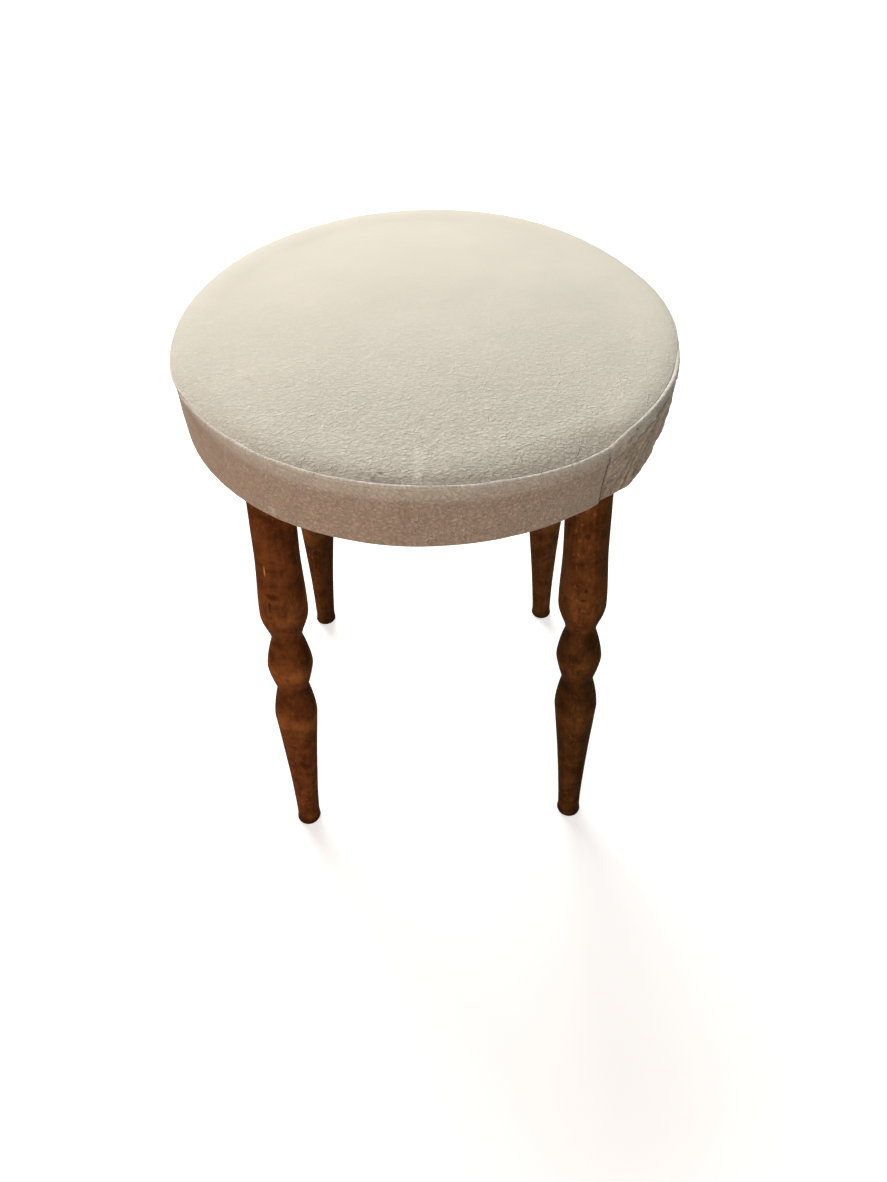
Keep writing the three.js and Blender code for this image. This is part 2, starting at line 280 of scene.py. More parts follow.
@dataclass(frozen=True)
class CrinkledCloth(Finish):
    """Cream microfibre, napped and finely crinkled, as on the whole cover."""

    ground: Colour = (0.86, 0.815, 0.715)
    # The cool colour: random mottle, and painted shade towards the front.
    cool: Colour = (0.78, 0.765, 0.67)
    worn: Colour = (0.96, 0.93, 0.86)
    # Shaded copies of the cloth for the band's side, the dull one greyer on the right: painted shade.
    shaded: Colour = (0.68, 0.565, 0.455)
    dull: Colour = (0.625, 0.545, 0.445)
    grey_shade_start: float = 60.0
    grey_shade_end: float = 105.0
    # Heights and depths, in millimetres, where the painted shade of the band's side begins and ends.
    shade_top: float = 446.0
    shade_low: float = 434.0
    shade_back: float = 130.0
    shade_front: float = -20.0
    # Depths where the front's wear and its painted shade begin and end.
    wear_and_shade_back: float = 90.0
    wear_and_shade_front: float = -165.0
    crackle_cell: float = 3.0
    crackle_height: float = 0.20
    hairline_cell: float = 13.0
    hairline_width: float = 0.6
    hairline_height: float = 0.22
    nap_grain: float = 1.5
    nap_height: float = 0.50
    rumple_grain: float = 3.2
    rumple_height: float = 0.62

    def _walls(self, tree: NodeTree, place: Triple, cell: float) -> Value:
        """Distance from the nearest wall between random cells, in millimetres."""
        moved = tree.jitter(place, 0.9 * cell, 0.5 * cell)
        sockets = {"Vector": moved, "Scale": 1 / cell, "Randomness": 1.0}
        made = tree.node("ShaderNodeTexVoronoi", {"feature": "DISTANCE_TO_EDGE"}, sockets)
        return made.number("Distance") * cell

    def paint(self, tree: NodeTree) -> Surface:
        """Crackle, nap and hairlines, worn in at the front, with painted shade in folds and painted
        highlights on ridges, and painted shade on the band's side and towards the front.
        """
        place = self.place(tree)
        across, depth, height = place.parts()
        fold = tree.node("ShaderNodeAttribute", {"attribute_name": "fold"}).number("Fac")
        crackle = tree.rise(self._walls(tree, place * (0.75, 1.2, 1.0), self.crackle_cell), 0.0, 1.0)
        wandering = self._walls(tree, place + (31.0, 17.0, 5.0), self.hairline_cell)
        hairline = 1.0 - tree.rise(wandering, 0.0, self.hairline_width)
        hairline = hairline * tree.rise(tree.noise(place, 15.0, 1.0), 0.48, 0.62)
        nap = tree.noise(place * (0.8, 1.1, 1.1), self.nap_grain, 3.0, 0.65)
        rumple = tree.noise(place * (0.7, 1.2, 1.1), self.rumple_grain, 3.0, 0.55)
        patch = tree.rise(tree.noise(place, 7.0, 2.0), 0.3, 0.7)
        mottle = tree.rise(tree.noise(place, 42.0, 3.0), 0.25, 0.75)
        front = tree.rise(depth, self.wear_and_shade_back, self.wear_and_shade_front, smooth=False)
        wear = 0.12 + front * (front * 1.58 - 0.03)
        # The front is mixed towards the darker, greener cool colour: painted shade, over random mottle.
        colour = tree.mix(mottle * 0.5 + front * 0.5, self.ground, self.cool)
        # The band's side below the seam, most at the front and greyer on the right, takes the shaded colour:
        # painted shade.
        side = 1.0 - tree.rise(height, self.shade_low, self.shade_top)
        wear = wear * (1.0 + side * 0.5)
        turned = tree.rise(depth, self.shade_back, self.shade_front)
        shaded = tree.mix(tree.rise(across, self.grey_shade_start, self.grey_shade_end), self.shaded, self.dull)
        colour = tree.mix(side * (0.30 + turned * 0.70), colour, shaded)
        colour = tree.mix(hairline * wear * 0.3, colour, self.worn)
        # The fold attribute warms and darkens the folds and lightens the ridges: painted shade and painted
        # highlights.
        colour = tree.mix(tree.rise(fold, 0.0, -1.2, smooth=False) * 0.5, colour, self.shaded)
        tone = (nap - 0.5) * 0.22 + (crackle - 0.8) * 0.10 + (patch - 0.5) * 0.05 + (rumple - 0.5) * 0.16
        colour = colour * ((tone * wear + 1.0) * tree.math("MAXIMUM", 1.0 + fold * 0.45, 0.25))
        relief = crackle * self.crackle_height * (0.4 + patch * 0.6) + nap * self.nap_height
        relief = relief + hairline * self.hairline_height + rumple * self.rumple_height
        constants = {"Specular IOR Level": 0.2, "Sheen Weight": 0.1, "Sheen Roughness": 0.55}
        return Surface(colour, 0.94 - nap * 0.06, tree.bump(relief * wear, 1.0), constants)


@dataclass(frozen=True)
class LegMark:
    """A small mark on one leg, at a height along it and an angle round it."""

    leg: int
    height: float
    angle: float
    length: float
    width: float
    pale: bool


@dataclass(frozen=True)
class LitSide:
    """One side of a leg painted lighter as a painted highlight, with painted shade away from it: its angle,
    and the tone away from it and on it.
    """

    leg: int
    angle: float
    dark: float
    light: float
    start: float
    end: float


@dataclass(frozen=True)
class StainedWood(Finish):
    """Dark walnut stain on turned hardwood, satin and blotchy, with painted shade in the hollows, and painted
    highlights on the widest parts and down one side of two legs.
    """

    deep: Colour = (0.072, 0.0215, 0.0080)
    ground: Colour = (0.312, 0.1060, 0.0320)
    amber: Colour = (0.51, 0.202, 0.062)
    pale: Colour = (0.75, 0.48, 0.22)
    # Darker rings by height, width and share: painted shade in the necks and below the bead (187 to 257) and
    # under the seat (404), darker at the foot (0), and darker bands on the swell and shaft (275, 322, 350).
    dark_rings: Rings = (
        (257.0, 6.0, 0.45), (200.0, 6.0, 0.55), (187.0, 9.0, 0.40), (246.0, 7.0, 0.30),
        (212.0, 6.0, 0.25), (275.0, 8.0, 0.36), (322.0, 15.0, 0.20), (350.0, 9.0, 0.10),
        (0.0, 9.0, 0.75), (404.0, 10.0, 0.20),
    )
    # Lighter rings at the widest parts of the vase, bead and swell: painted highlights, with the stain worn
    # thinner there.
    amber_rings: Rings = ((224.0, 9.0, 0.70), (160.0, 12.0, 0.60), (290.0, 24.0, 0.40))
    leg_tints: tuple[tuple[float, float], ...] = ((0.98, 1.0), (0.76, 0.46), (0.74, 0.64), (0.75, 0.65))
    film: Colour = (0.22, 0.18, 0.065)
    leg_films: tuple[float, ...] = (0.005, 0.07, 0.12, 0.06)
    tint_low: float = 230.0
    tint_high: float = 300.0
    marks: tuple[LegMark, ...] = (
        LegMark(0, 336.0, 17.3, 6.0, 0.75, True),
        LegMark(0, 313.0, 31.0, 4.0, 6.0, False),
        LegMark(0, 303.0, 22.0, 7.0, 1.3, False),
        # Darker at the foot of the front left leg.
        LegMark(0, 2.0, 10.0, 9.0, 60.0, False),
        LegMark(1, 361.0, -53.0, 3.4, 2.6, False),
        LegMark(1, 311.5, -49.0, 2.6, 1.6, False),
        LegMark(1, 302.5, -54.0, 1.6, 2.4, False),
    )
    mark_reach: float = 16.0
    mark_edge: float = 0.45
    mark_share: float = 0.8
    mark_raggedness: float = 0.9
    # Painted highlights down one side of two legs, with painted shade towards their edges.
    lit_sides: tuple[LitSide, ...] = (
        LitSide(1, -56.0, 0.78, 1.24, 0.76, 1.0),
        LitSide(3, 45.0, 0.60, 1.26, -0.25, 0.70),
    )
    leg_shift: tuple[float, float, float] = (57.0, 23.0, 401.0)
    ring_scale: float = 0.075
    ring_distortion: float = 1.2

    @staticmethod
    def _on_leg(tree: NodeTree, leg: Value, number: int) -> Value:
        """1 on the leg with this number and 0 on the others."""
        return tree.bell(leg, float(number), 0.3)

    def _side_lighting(self, tree: NodeTree, leg: Value, angle: Value) -> tuple[Value, Value]:
        """Painted highlight down one side of some legs, and painted shade away from it.

        Args:
            tree: The tree that the nodes go into.
            leg: The leg's number.
            angle: The angle round the leg, in degrees.

        Returns:
            What the colour is multiplied by, and how far each place is on a lit side.
        """
        tone, lit = 1.0, 0.0
        for side in self.lit_sides:
            facing = tree.math("COSINE", (angle - side.angle) * (math.pi / 180))
            share = tree.rise(facing, side.start, side.end)
            here = self._on_leg(tree, leg, side.leg)
            tone = tone * (1.0 + here * (share * (side.light - side.dark) + (side.dark - 1.0)))
            lit = lit + here * share
        return tone, lit

    def _tints(self, tree: NodeTree, leg: Value, upper: Value) -> tuple[Value, Value]:
        """How dark each leg is, low and high, and how thick the dull film on it is."""
        tint, film = 1.0, 0.0
        for number, (high, low) in enumerate(self.leg_tints):
            tint = tint + self._on_leg(tree, leg, number) * (low - 1.0 + upper * (high - low))
        for number, share in enumerate(self.leg_films):
            film = film + self._on_leg(tree, leg, number) * share
        return tint, film

    def _marked(
        self, tree: NodeTree, place: tuple[Value, Value, Value], ragged: Value, colour: Triple
    ) -> Triple:
        """The colour with the small pale and dark marks of single legs.

        Args:
            tree: The tree that the nodes go into.
            place: The leg's number, the angle round it in degrees, and the height along it.
            ragged: How far the marks' edges are moved at random.
            colour: The colour without marks.

        Returns:
            The marked colour.
        """
        leg, angle, along = place
        for mark in self.marks:
            sideways = (angle - mark.angle) * (math.pi / 180 * self.mark_reach / mark.width)
            upwards = (along - mark.height) / mark.length
            away = tree.math("SQRT", sideways * sideways + upwards * upwards) + ragged
            share = (1.0 - tree.rise(away, self.mark_edge, 1.0)) * self._on_leg(tree, leg, mark.leg)
            colour = tree.mix(share * self.mark_share, colour, self.pale if mark.pale else self.deep)
        return colour

    def _rings(self, tree: NodeTree, along: Value, colour: Triple, uneven: Value, dark: bool) -> Triple:
        """Darker rings round the leg, mostly painted shade in the hollows, and lighter rings, painted
        highlights with thinner stain, on the widest parts.
        """
        for centre, width, share in self.dark_rings if dark else self.amber_rings:
            strength = tree.bell(along, centre, width) * uneven * share
            colour = tree.mix(tree.math("MINIMUM", strength, 1.0), colour, self.deep if dark else self.amber)
        return colour

    def paint(self, tree: NodeTree) -> Surface:
        """Growth rings, pores, cloudy stain, and darker and lighter rings along each leg."""
        spot = tree.node("ShaderNodeAttribute", {"attribute_name": "leg_place"}).triple("Vector")
        leg = tree.node("ShaderNodeAttribute", {"attribute_name": "leg_number"}).number("Fac")
        x, y, along = spot.parts()
        sideways, inwards, upwards = self.leg_shift
        shifted = tree.vector(x + leg * sideways, y + leg * inwards, along + leg * upwards)
        warped = tree.jitter(shifted * (1.0, 1.0, 0.16), 16.0, 7.0)
        settings = {"wave_type": "RINGS", "rings_direction": "Z", "wave_profile": "SIN"}
        sockets = {"Vector": warped + (44.0, 9.0, 0.0), "Scale": self.ring_scale, "Detail": 2.0}
        sockets["Distortion"] = self.ring_distortion
        rings = tree.node("ShaderNodeTexWave", settings, sockets).number("Fac")
        pores = tree.rise(tree.noise(shifted * (1.0, 1.0, 0.10), 0.9, 2.0), 0.58, 0.72)
        streaks = tree.noise(shifted * (1.0, 1.0, 0.10), 2.6, 3.0, 0.6)
        cloud = tree.rise(tree.noise(shifted * (1.0, 1.0, 0.8), 13.0, 4.0, 0.65), 0.30, 0.70)
        smudge = tree.rise(tree.noise(shifted * (0.7, 0.7, 1.1), 8.0, 3.0, 0.55), 0.48, 0.74)
        flecks = tree.rise(tree.noise(shifted * (1.0, 1.0, 0.45), 2.0, 2.0, 0.6), 0.56, 0.74)
        tone = rings * 0.12 + streaks * 0.34 + cloud * 0.60
        angle = tree.math("ARCTAN2", y, x) * (180 / math.pi)
        side_light, lit = self._side_lighting(tree, leg, angle)
        colour = tree.mix(tree.rise(tone, 0.05, 0.95, smooth=False), self.deep, self.ground)
        # More amber flecks on the lit side, as part of its painted highlight.
        colour = tree.mix(flecks * (lit * 0.45 + 0.35), colour, self.amber)
        colour = self._rings(tree, along, colour, cloud * 0.6 + streaks * 0.7, dark=False)
        colour = self._rings(tree, along, colour, 0.6 + streaks * 0.6, dark=True)
        turned = tree.noise(tree.vector(x * 0.05, y * 0.05, along), 1.1, 2.0)
        upper = tree.rise(along, self.tint_low, self.tint_high)
        tint, film = self._tints(tree, leg, upper)
        shade = (1.0 - pores * 0.18) * (1.0 - smudge * 0.30) * (0.90 + turned * 0.20)
        # The colour is multiplied by the painted light and shade of the lit sides, then mixed with the dull
        # film.
        colour = tree.mix(film * (0.6 + cloud * 0.8), colour * (shade * tint * side_light), self.film)
        ragged = (tree.noise(shifted, 1.3, 2.0) - 0.5) * self.mark_raggedness
        colour = self._marked(tree, (leg, angle, along), ragged, colour)
        roughness = 0.42 + cloud * 0.10 + pores * 0.10
        relief = pores * -0.05 + streaks * 0.05 + turned * 0.04 + smudge * 0.02
        return Surface(colour, roughness, tree.bump(relief, 0.7), {"Specular IOR Level": 0.001})


@dataclass(frozen=True)
class Lining(Finish):
    """Black spun-bonded lining: pressed fibres with rows of small bonding dimples."""

    fibre_dark: Colour = (0.008, 0.008, 0.008)
    fibre_light: Colour = (0.032, 0.031, 0.029)
    dimple_pitch: float = 1.6

    def paint(self, tree: NodeTree) -> Surface:
        """Crossed fibres and dimples."""
        place = self.place(tree)
        lengthways = tree.noise(place * (0.12, 1.0, 1.0), 0.5, 2.0)
        crossways = tree.noise(place * (1.0, 0.12, 1.0) + (9.0, 4.0, 0.0), 0.5, 2.0)
        fibres = tree.math("MAXIMUM", lengthways, crossways)
        cells = {"Vector": place, "Scale": 1 / self.dimple_pitch, "Randomness": 0.15}
        dimples = tree.rise(tree.node("ShaderNodeTexVoronoi", {}, cells).number("Distance"), 0.15, 0.4)
        colour = tree.mix(tree.rise(fibres, 0.45, 0.75), self.fibre_dark, self.fibre_light)
        relief = fibres * 0.10 + dimples * 0.12
        return Surface(colour, 0.98 - fibres * 0.1, tree.bump(relief, 0.7), {"Specular IOR Level": 0.03})


@dataclass(frozen=True)
class Plywood(Finish):
    """Birch plywood: a sanded face with grain, and dark and pale plies round the edge."""

    face: Colour = (0.56, 0.39, 0.22)
    vein: Colour = (0.42, 0.26, 0.13)
    cross_ply: Colour = (0.30, 0.18, 0.09)
    ply: float = 1.5

    def paint(self, tree: NodeTree) -> Surface:
        """Grain along the face, and plies by height."""
        place = self.place(tree)
        height = place.parts()[2]
        grain = tree.noise(place * (0.06, 1.0, 1.0), 2.2, 4.0, 0.6)
        figure = tree.rise(tree.noise(place * (0.10, 0.5, 1.0), 14.0, 2.0), 0.35, 0.65)
        turn = tree.math("FRACT", height / (2 * self.ply))
        plies = tree.rise(turn, 0.46, 0.54) * 0.8
        face = tree.mix(grain * 0.5 + figure * 0.5, self.face, self.vein)
        colour = tree.mix(plies, face, self.cross_ply)
        relief = grain * 0.12 - plies * 0.08
        return Surface(colour, 0.70 + grain * 0.15, tree.bump(relief, 0.6), {})


@dataclass(frozen=True)
class Foam(Finish):
    """Pale yellow polyurethane foam with open pores."""

    skin: Colour = (0.80, 0.68, 0.36)
    pore: Colour = (0.52, 0.40, 0.17)
    pore_pitch: float = 1.4

    def paint(self, tree: NodeTree) -> Surface:
        """Random pores over a slow change of tone."""
        place = self.place(tree)
        cells = {"Vector": tree.jitter(place, 2.0, 0.5), "Scale": 1 / self.pore_pitch}
        depth = tree.node("ShaderNodeTexVoronoi", {}, cells).number("Distance")
        pores = 1.0 - tree.rise(depth, 0.10, 0.42)
        aged = tree.noise(place, 40.0, 2.0) * 0.4
        colour = tree.mix(pores * 0.7 + aged * 0.3, self.skin, self.pore)
        return Surface(colour, 0.96 - pores * 0.06, tree.bump(pores * -0.4, 0.8), {})


@dataclass(frozen=True)
class Wadding(Finish):
    """White polyester wadding, a soft mat of long fibres."""

    light: Colour = (0.86, 0.85, 0.81)
    hollow: Colour = (0.60, 0.59, 0.55)

    def paint(self, tree: NodeTree) -> Surface:
        """Matted fibres in two directions."""
        place = self.place(tree)
        bent = tree.jitter(place, 9.0, 3.0)
        first = tree.noise(bent * (0.15, 1.0, 1.0), 0.9, 3.0, 0.6)
        second = tree.noise(bent * (1.0, 0.15, 1.0) + (7.0, 3.0, 0.0), 0.9, 3.0, 0.6)
        mat = tree.math("MAXIMUM", first, second)
        colour = tree.mix(tree.rise(mat, 0.42, 0.72), self.hollow, self.light)
        return Surface(colour, 1.0 - mat * 0.08, tree.bump(mat * 0.6, 0.8), {"Sheen Weight": 0.2})


@dataclass(frozen=True)
class PlatedSteel(Finish):
    """Steel with a bright plating, finely scratched and dulled in patches."""

    bright: Colour = (0.62, 0.63, 0.64)
    dull: Colour = (0.38, 0.38, 0.37)
    roughest: float = 0.46

    def paint(self, tree: NodeTree) -> Surface:
        """Patches of dulled plating and fine scratches."""
        place = self.place(tree)
        patches = tree.rise(tree.noise(place, 2.4, 4.0, 0.6), 0.35, 0.65)
        scratches = tree.rise(tree.noise(place * (1.0, 0.08, 0.6), 0.25, 2.0), 0.55, 0.75)
        colour = tree.mix(patches * 0.8, self.bright, self.dull)
        roughness = self.roughest - patches * 0.12 + scratches * 0.10
        relief = scratches * -0.02 + patches * 0.01
        return Surface(colour, roughness, tree.bump(relief, 0.5), {"Metallic": 1.0})


class Finishes:
    """The materials of the stool, made once each."""

    def __init__(self) -> None:
        """Makes the materials."""
        self.cloth = CrinkledCloth("cream_microfibre").material()
        # The welt's cloth is lighter than the cover's: a painted highlight along the ridge of the seam.
        self.welt = CrinkledCloth("highlighted_microfibre", (0.93, 0.90, 0.82), (0.88, 0.85, 0.77)).material()
        self.wood = StainedWood("walnut_stained_wood").material()
        self.lining = Lining("black_lining").material()
        self.plywood = Plywood("birch_plywood").material()
        self.foam = Foam("yellow_foam").material()
        self.wadding = Wadding("white_wadding").material()
        self.zinc = PlatedSteel("zinc_plated_steel").material()
        self.staple = PlatedSteel("staple_steel", (0.50, 0.50, 0.49), (0.27, 0.26, 0.25)).material()


def eased(value: Array | float, start: float, end: float) -> Array:
    """A share that rises smoothly from 0 to 1 as a value runs from start to end."""
    share = np.clip((np.asarray(value, float) - start) / (end - start), 0.0, 1.0)
    return share * share * (3 - 2 * share)


def between(value: Array, span: Span) -> Array:
    """A share that rises from 0 to 1 between a span's first two values and falls between its last two."""
    start, full, fall, end = span
    return eased(value, start, full) * (1 - eased(value, fall, end))


def full_turn(count: int) -> Array:
    """Even azimuths all the way round, in radians."""
    return np.linspace(0, 2 * math.pi, count, endpoint=False)


def front_degrees(azimuth: Array) -> Array:
    """Azimuths in degrees from -180 to 180, so that the front, at -90, lies inside the range."""
    return (np.degrees(azimuth) + 180) % 360 - 180


def stepped(degrees: Array, table: Table) -> Array:
    """Lengths that pass smoothly from each (azimuth, millimetres) of a table to the next."""
    value = np.full_like(degrees, table[0][1])
    for (start, low), (end, high) in zip(table, table[1:]):
        value = value + (high - low) * eased(degrees, start, end)
    return value * MM


def hump(value: Array, centre: float, width: float) -> Array:
    """A share that is 1 at the centre and falls off smoothly within about the width."""
    return np.exp(-(((value - centre) / width) ** 2))


@dataclass(frozen=True)
class Bell:
    """A smooth rise round a centre: how wide it is to each side, and how high."""

    centre: float
    width: float
    height: float = 1.0

    def at(self, value: Array) -> Array:
        """The rise at values along the line that it stands on."""
        return hump(value, self.centre, self.width) * self.height


@dataclass(frozen=True)
class Gathers:
    """Small gathers round the seat, at a spacing that drifts: their count, and the drift's."""

    count: int
    drift: float
    drift_count: int

    def at(self, azimuth: Array) -> Array:
        """A wave from -1 to 1 at azimuths in radians."""
        return np.sin(azimuth * self.count + self.drift * np.sin(azimuth * self.drift_count))


def soft_noise(points: Array, grain: float, shift: float) -> Array:
    """Smooth random values from about -1 to 1 at points, the same each run.

    Args:
        points: An array whose last axis is x, y, z.
        grain: The size of the noise's waves, in the points' units.
        shift: A number that tells one noise from another.

    Returns:
        One value for each point.
    """
    flat = points.reshape(-1, 3) / grain + shift
    values = [noise.noise(Vector(place)) for place in flat]
    return np.array(values).reshape(points.shape[:-1])


@dataclass(frozen=True)
class Ripple:
    """Smooth random waves: their grain, the shift that tells them from others, and their reach."""

    grain: float
    shift: float
    reach: float

    def at(self, points: Array) -> Array:
        """The waves at points whose last axis is x, y, z."""
        return soft_noise(points, self.grain, self.shift) * self.reach


def placed(name: str, data: bpy.types.ID, folds: Array | None = None) -> Piece:
    """An object of a mesh, camera or lamp, in the scene, with a mesh's painted light and shade kept as its
    fold attribute.
    """
    if folds is not None:
        shade = np.zeros(len(data.vertices), np.float32)
        shade[: folds.size] = folds.ravel()
        data.attributes.new("fold", "FLOAT", "POINT").data.foreach_set("value", shade)
    made = bpy.data.objects.new(name, data)
    bpy.context.scene.collection.objects.link(made)
    return made


def ringed_mesh(
    name: str, rings: Array, wraps: bool,
    first_pole: bool = False, last_pole: bool = False, folds: Array | None = None,
) -> Piece:
    """An object whose faces join rings of points.

    Rings that run outwards or downwards, with points counter-clockwise, face out.

    Args:
        name: The object's name.
        rings: Points as (ring, place in the ring, x y z).
        wraps: Whether each ring closes on itself.
        first_pole: Whether the first ring is closed by a fan to its middle.
        last_pole: Whether the last ring is closed by a fan to its middle.
        folds: How far each point is on a ridge or, below zero, in a fold, for its painted light and shade.

    Returns:
        The object, in the scene.
    """
    count, around, _ = rings.shape
    index = np.arange(count * around).reshape(count, around)
    here = index if wraps else index[:, :-1]
    ahead = np.roll(index, -1, axis=1) if wraps else index[:, 1:]
    faces = np.stack([here[:-1], here[1:], ahead[1:], ahead[:-1]], axis=-1).reshape(-1, 4).tolist()
    points = rings.reshape(-1, 3).tolist()
    if first_pole:
        faces += [[len(points), a, b] for a, b in zip(here[0].tolist(), ahead[0].tolist())]
        points.append(rings[0].mean(axis=0).tolist())
    if last_pole:
        faces += [[len(points), b, a] for a, b in zip(here[-1].tolist(), ahead[-1].tolist())]
        points.append(rings[-1].mean(axis=0).tolist())
    mesh = bpy.data.meshes.new(name)
    mesh.from_pydata(points, [], faces)
    mesh.shade_smooth()
    return placed(name, mesh, folds)


def settled(piece: Piece) -> Piece:
    """The piece with what its modifiers make as its own plain mesh, and no modifier left."""
    graph = bpy.context.evaluated_depsgraph_get()
    shown = piece.evaluated_get(graph)
    mesh = bpy.data.meshes.new_from_object(shown, preserve_all_data_layers=True, depsgraph=graph)
    before = piece.data
    piece.modifiers.clear()
    piece.data = mesh
    bpy.data.meshes.remove(before)
    mesh.name = piece.name
    return piece


def thickened(piece: Piece, thickness: float) -> Piece:
    """A sheet given its thickness, inwards from its face."""
    wall = piece.modifiers.new("cloth_thickness", "SOLIDIFY")
    wall.thickness = thickness
    wall.offset = -1.0
    wall.use_even_offset = False
    return settled(piece)


def dressed(piece: Piece, finish: Paint) -> Piece:
    """The piece with its material, on its body."""
    if not piece.data.materials:
        piece.data.materials.append(finish)
    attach(piece, BODY)
    LOG.info("%s: %d faces", piece.name, len(piece.data.polygons))
    return piece


class GeometryTree(NodeTree):
    """A Geometry Nodes tree with named inputs, used once on one piece."""

    def __init__(self, name: str) -> None:
        """Starts a tree that takes and gives geometry."""
        super().__init__(bpy.data.node_groups.new(name, "GeometryNodeTree"))
        face = self.nodes.interface
        face.new_socket("Geometry", in_out="INPUT", socket_type="NodeSocketGeometry")
        face.new_socket("Geometry", in_out="OUTPUT", socket_type="NodeSocketGeometry")
        self.entry = self.node("NodeGroupInput")
        self.given: dict[str, object] = {}

    def size(self, name: str, value: float) -> Value:
        """A named number that the modifier gives the tree."""
        return self._input(name, value, "NodeSocketFloat").number(name)

    def count(self, name: str, value: int) -> Value:
        """A named whole number that the modifier gives the tree."""
        return self._input(name, value, "NodeSocketInt").number(name)

    def finish(self, name: str, value: Paint) -> Socket:
        """A named material that the modifier gives the tree."""
        return self._input(name, value, "NodeSocketMaterial").out(name)

    def _input(self, name: str, value: object, kind: str) -> Made:
        """Adds a named input and keeps its value for the modifier."""
        self.nodes.interface.new_socket(name, in_out="INPUT", socket_type=kind)
        self.given[name] = value
        return self.entry

    def line(self) -> Socket:
        """The edges of the piece that the tree is used on, as a curve."""
        return self.node("GeometryNodeMeshToCurve", {}, {"Mesh": self.entry.out("Geometry")}).out()

    def store(self, geometry: Socket, name: str, kind: str, value: object) -> Socket:
        """Geometry with a named attribute on its points."""
        settings = {"data_type": kind, "domain": "POINT"}
        sockets = {"Geometry": geometry, "Name": name, "Value": value}
        return self.node("GeometryNodeStoreNamedAttribute", settings, sockets).out()

    def end(self, geometry: Socket, finish: Socket, smooth: bool) -> None:
        """Ends the tree: shading, real geometry in place of instances, and the material."""
        shaded = self.node("GeometryNodeSetShadeSmooth", {}, {"Geometry": geometry, "Shade Smooth": smooth})
        real = self.node("GeometryNodeRealizeInstances", {}, {"Geometry": shaded.out()})
        sockets = {"Geometry": real.out(), "Material": finish}
        painted = self.node("GeometryNodeSetMaterial", {}, sockets)
        self.node("NodeGroupOutput", {}, {"Geometry": painted.out()})

    def run(self, piece: Piece) -> Piece:
        """Puts the tree on a piece, gives it its inputs and makes the result the piece's own mesh."""
        modifier = piece.modifiers.new(self.nodes.name, "NODES")
        modifier.node_group = self.nodes
        for socket in self.nodes.interface.items_tree:
            if socket.name in self.given:
                modifier[socket.identifier] = self.given[socket.name]
        return settled(piece)


def path_object(name: str, points: Array, closed: bool, folds: Array | None = None) -> Piece:
    """An object that holds only points joined by edges, for Geometry Nodes to follow.

    Args:
        name: The object's name.
        points: The path's points, in order.
        closed: Whether the last point joins the first.
        folds: How far each point is on a ridge or, below zero, in a fold, for its painted light and shade.

    Returns:
        The object, in the scene.
    """
    count = len(points)
    edges = [(i, (i + 1) % count) for i in range(count if closed else count - 1)]
    mesh = bpy.data.meshes.new(name)
    mesh.from_pydata(points.tolist(), edges, [])
    return placed(name, mesh, folds)


@dataclass(frozen=True)
class SeatForm:
    """Shape of the upholstered seat: its rim seen from above, its seam, crown and side."""

    radius: float
    low_edge: float
    seam: float
    cloth: float = 0.9 * MM
    cloth_gap: float = 0.3 * MM
    crown_rise: float = 16 * MM
    crown_power: float = 2.8
    stiff_height: float = 11 * MM
    rim_wave_shares: tuple[tuple[int, float, float], ...] = (
        (2, -0.011, -0.004), (3, -0.004, -0.007), (7, 0.0008, -0.0006), (11, -0.0005, 0.0007),
    )
    seam_rises: Table = (
        (-180, -1.2), (-150, -1.3), (-130, -0.4), (-118, 0.3), (-93, 0.1), (-80, -1.0), (-60, -2.7),
        (-53.5, -2.8), (-46.5, 1.2), (-38, 1.0), (-10, 0.6), (30, -0.6), (90, -0.8), (180, -1.2),
    )
    lap_azimuth: float = math.radians(-53.0)

    @classmethod
    def from_frame(cls) -> "SeatForm":
        """The seat's form from the boxes of the seat board and the top panel."""
        cover = cls.cloth + cls.cloth_gap
        board_low, board_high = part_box("seat_board")
        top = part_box("cover_top_panel")[1].z
        return cls(board_high.x + cover, board_low.z - cover, top - cls.crown_rise)

    def rim(self, azimuth: Array, height: Array | float) -> Array:
        """Radius of the seat's side, round beside the board and uneven at the soft top."""
        wave = sum(a * np.cos(n * azimuth) + b * np.sin(n * azimuth) for n, a, b in self.rim_wave_shares)
        return self.radius * (1 + wave * self.softness(height))

    def softness(self, height: Array | float) -> Array:
        """How free the side is at a height: 0 beside the board and 1 at the seam."""
        return eased(height, self.low_edge + self.stiff_height, self.seam)

    def lift(self, azimuth: Array) -> Array:
        """How far the seam stands above its even height, as it wanders up and down round the rim."""
        return stepped(front_degrees(azimuth), self.seam_rises)

    def crown(self, share: Array) -> Array:
        """Height of the crowned top above the seam, at a share of the way to the rim."""
        return self.crown_rise * (1 - share**self.crown_power)


def round_points(azimuth: Array, radius: Array, height: Array) -> Array:
    """Points from azimuths, radii and heights, on a new last axis."""
    parts = np.broadcast_arrays(radius * np.cos(azimuth), radius * np.sin(azimuth), height)
    return np.stack(parts, axis=-1)


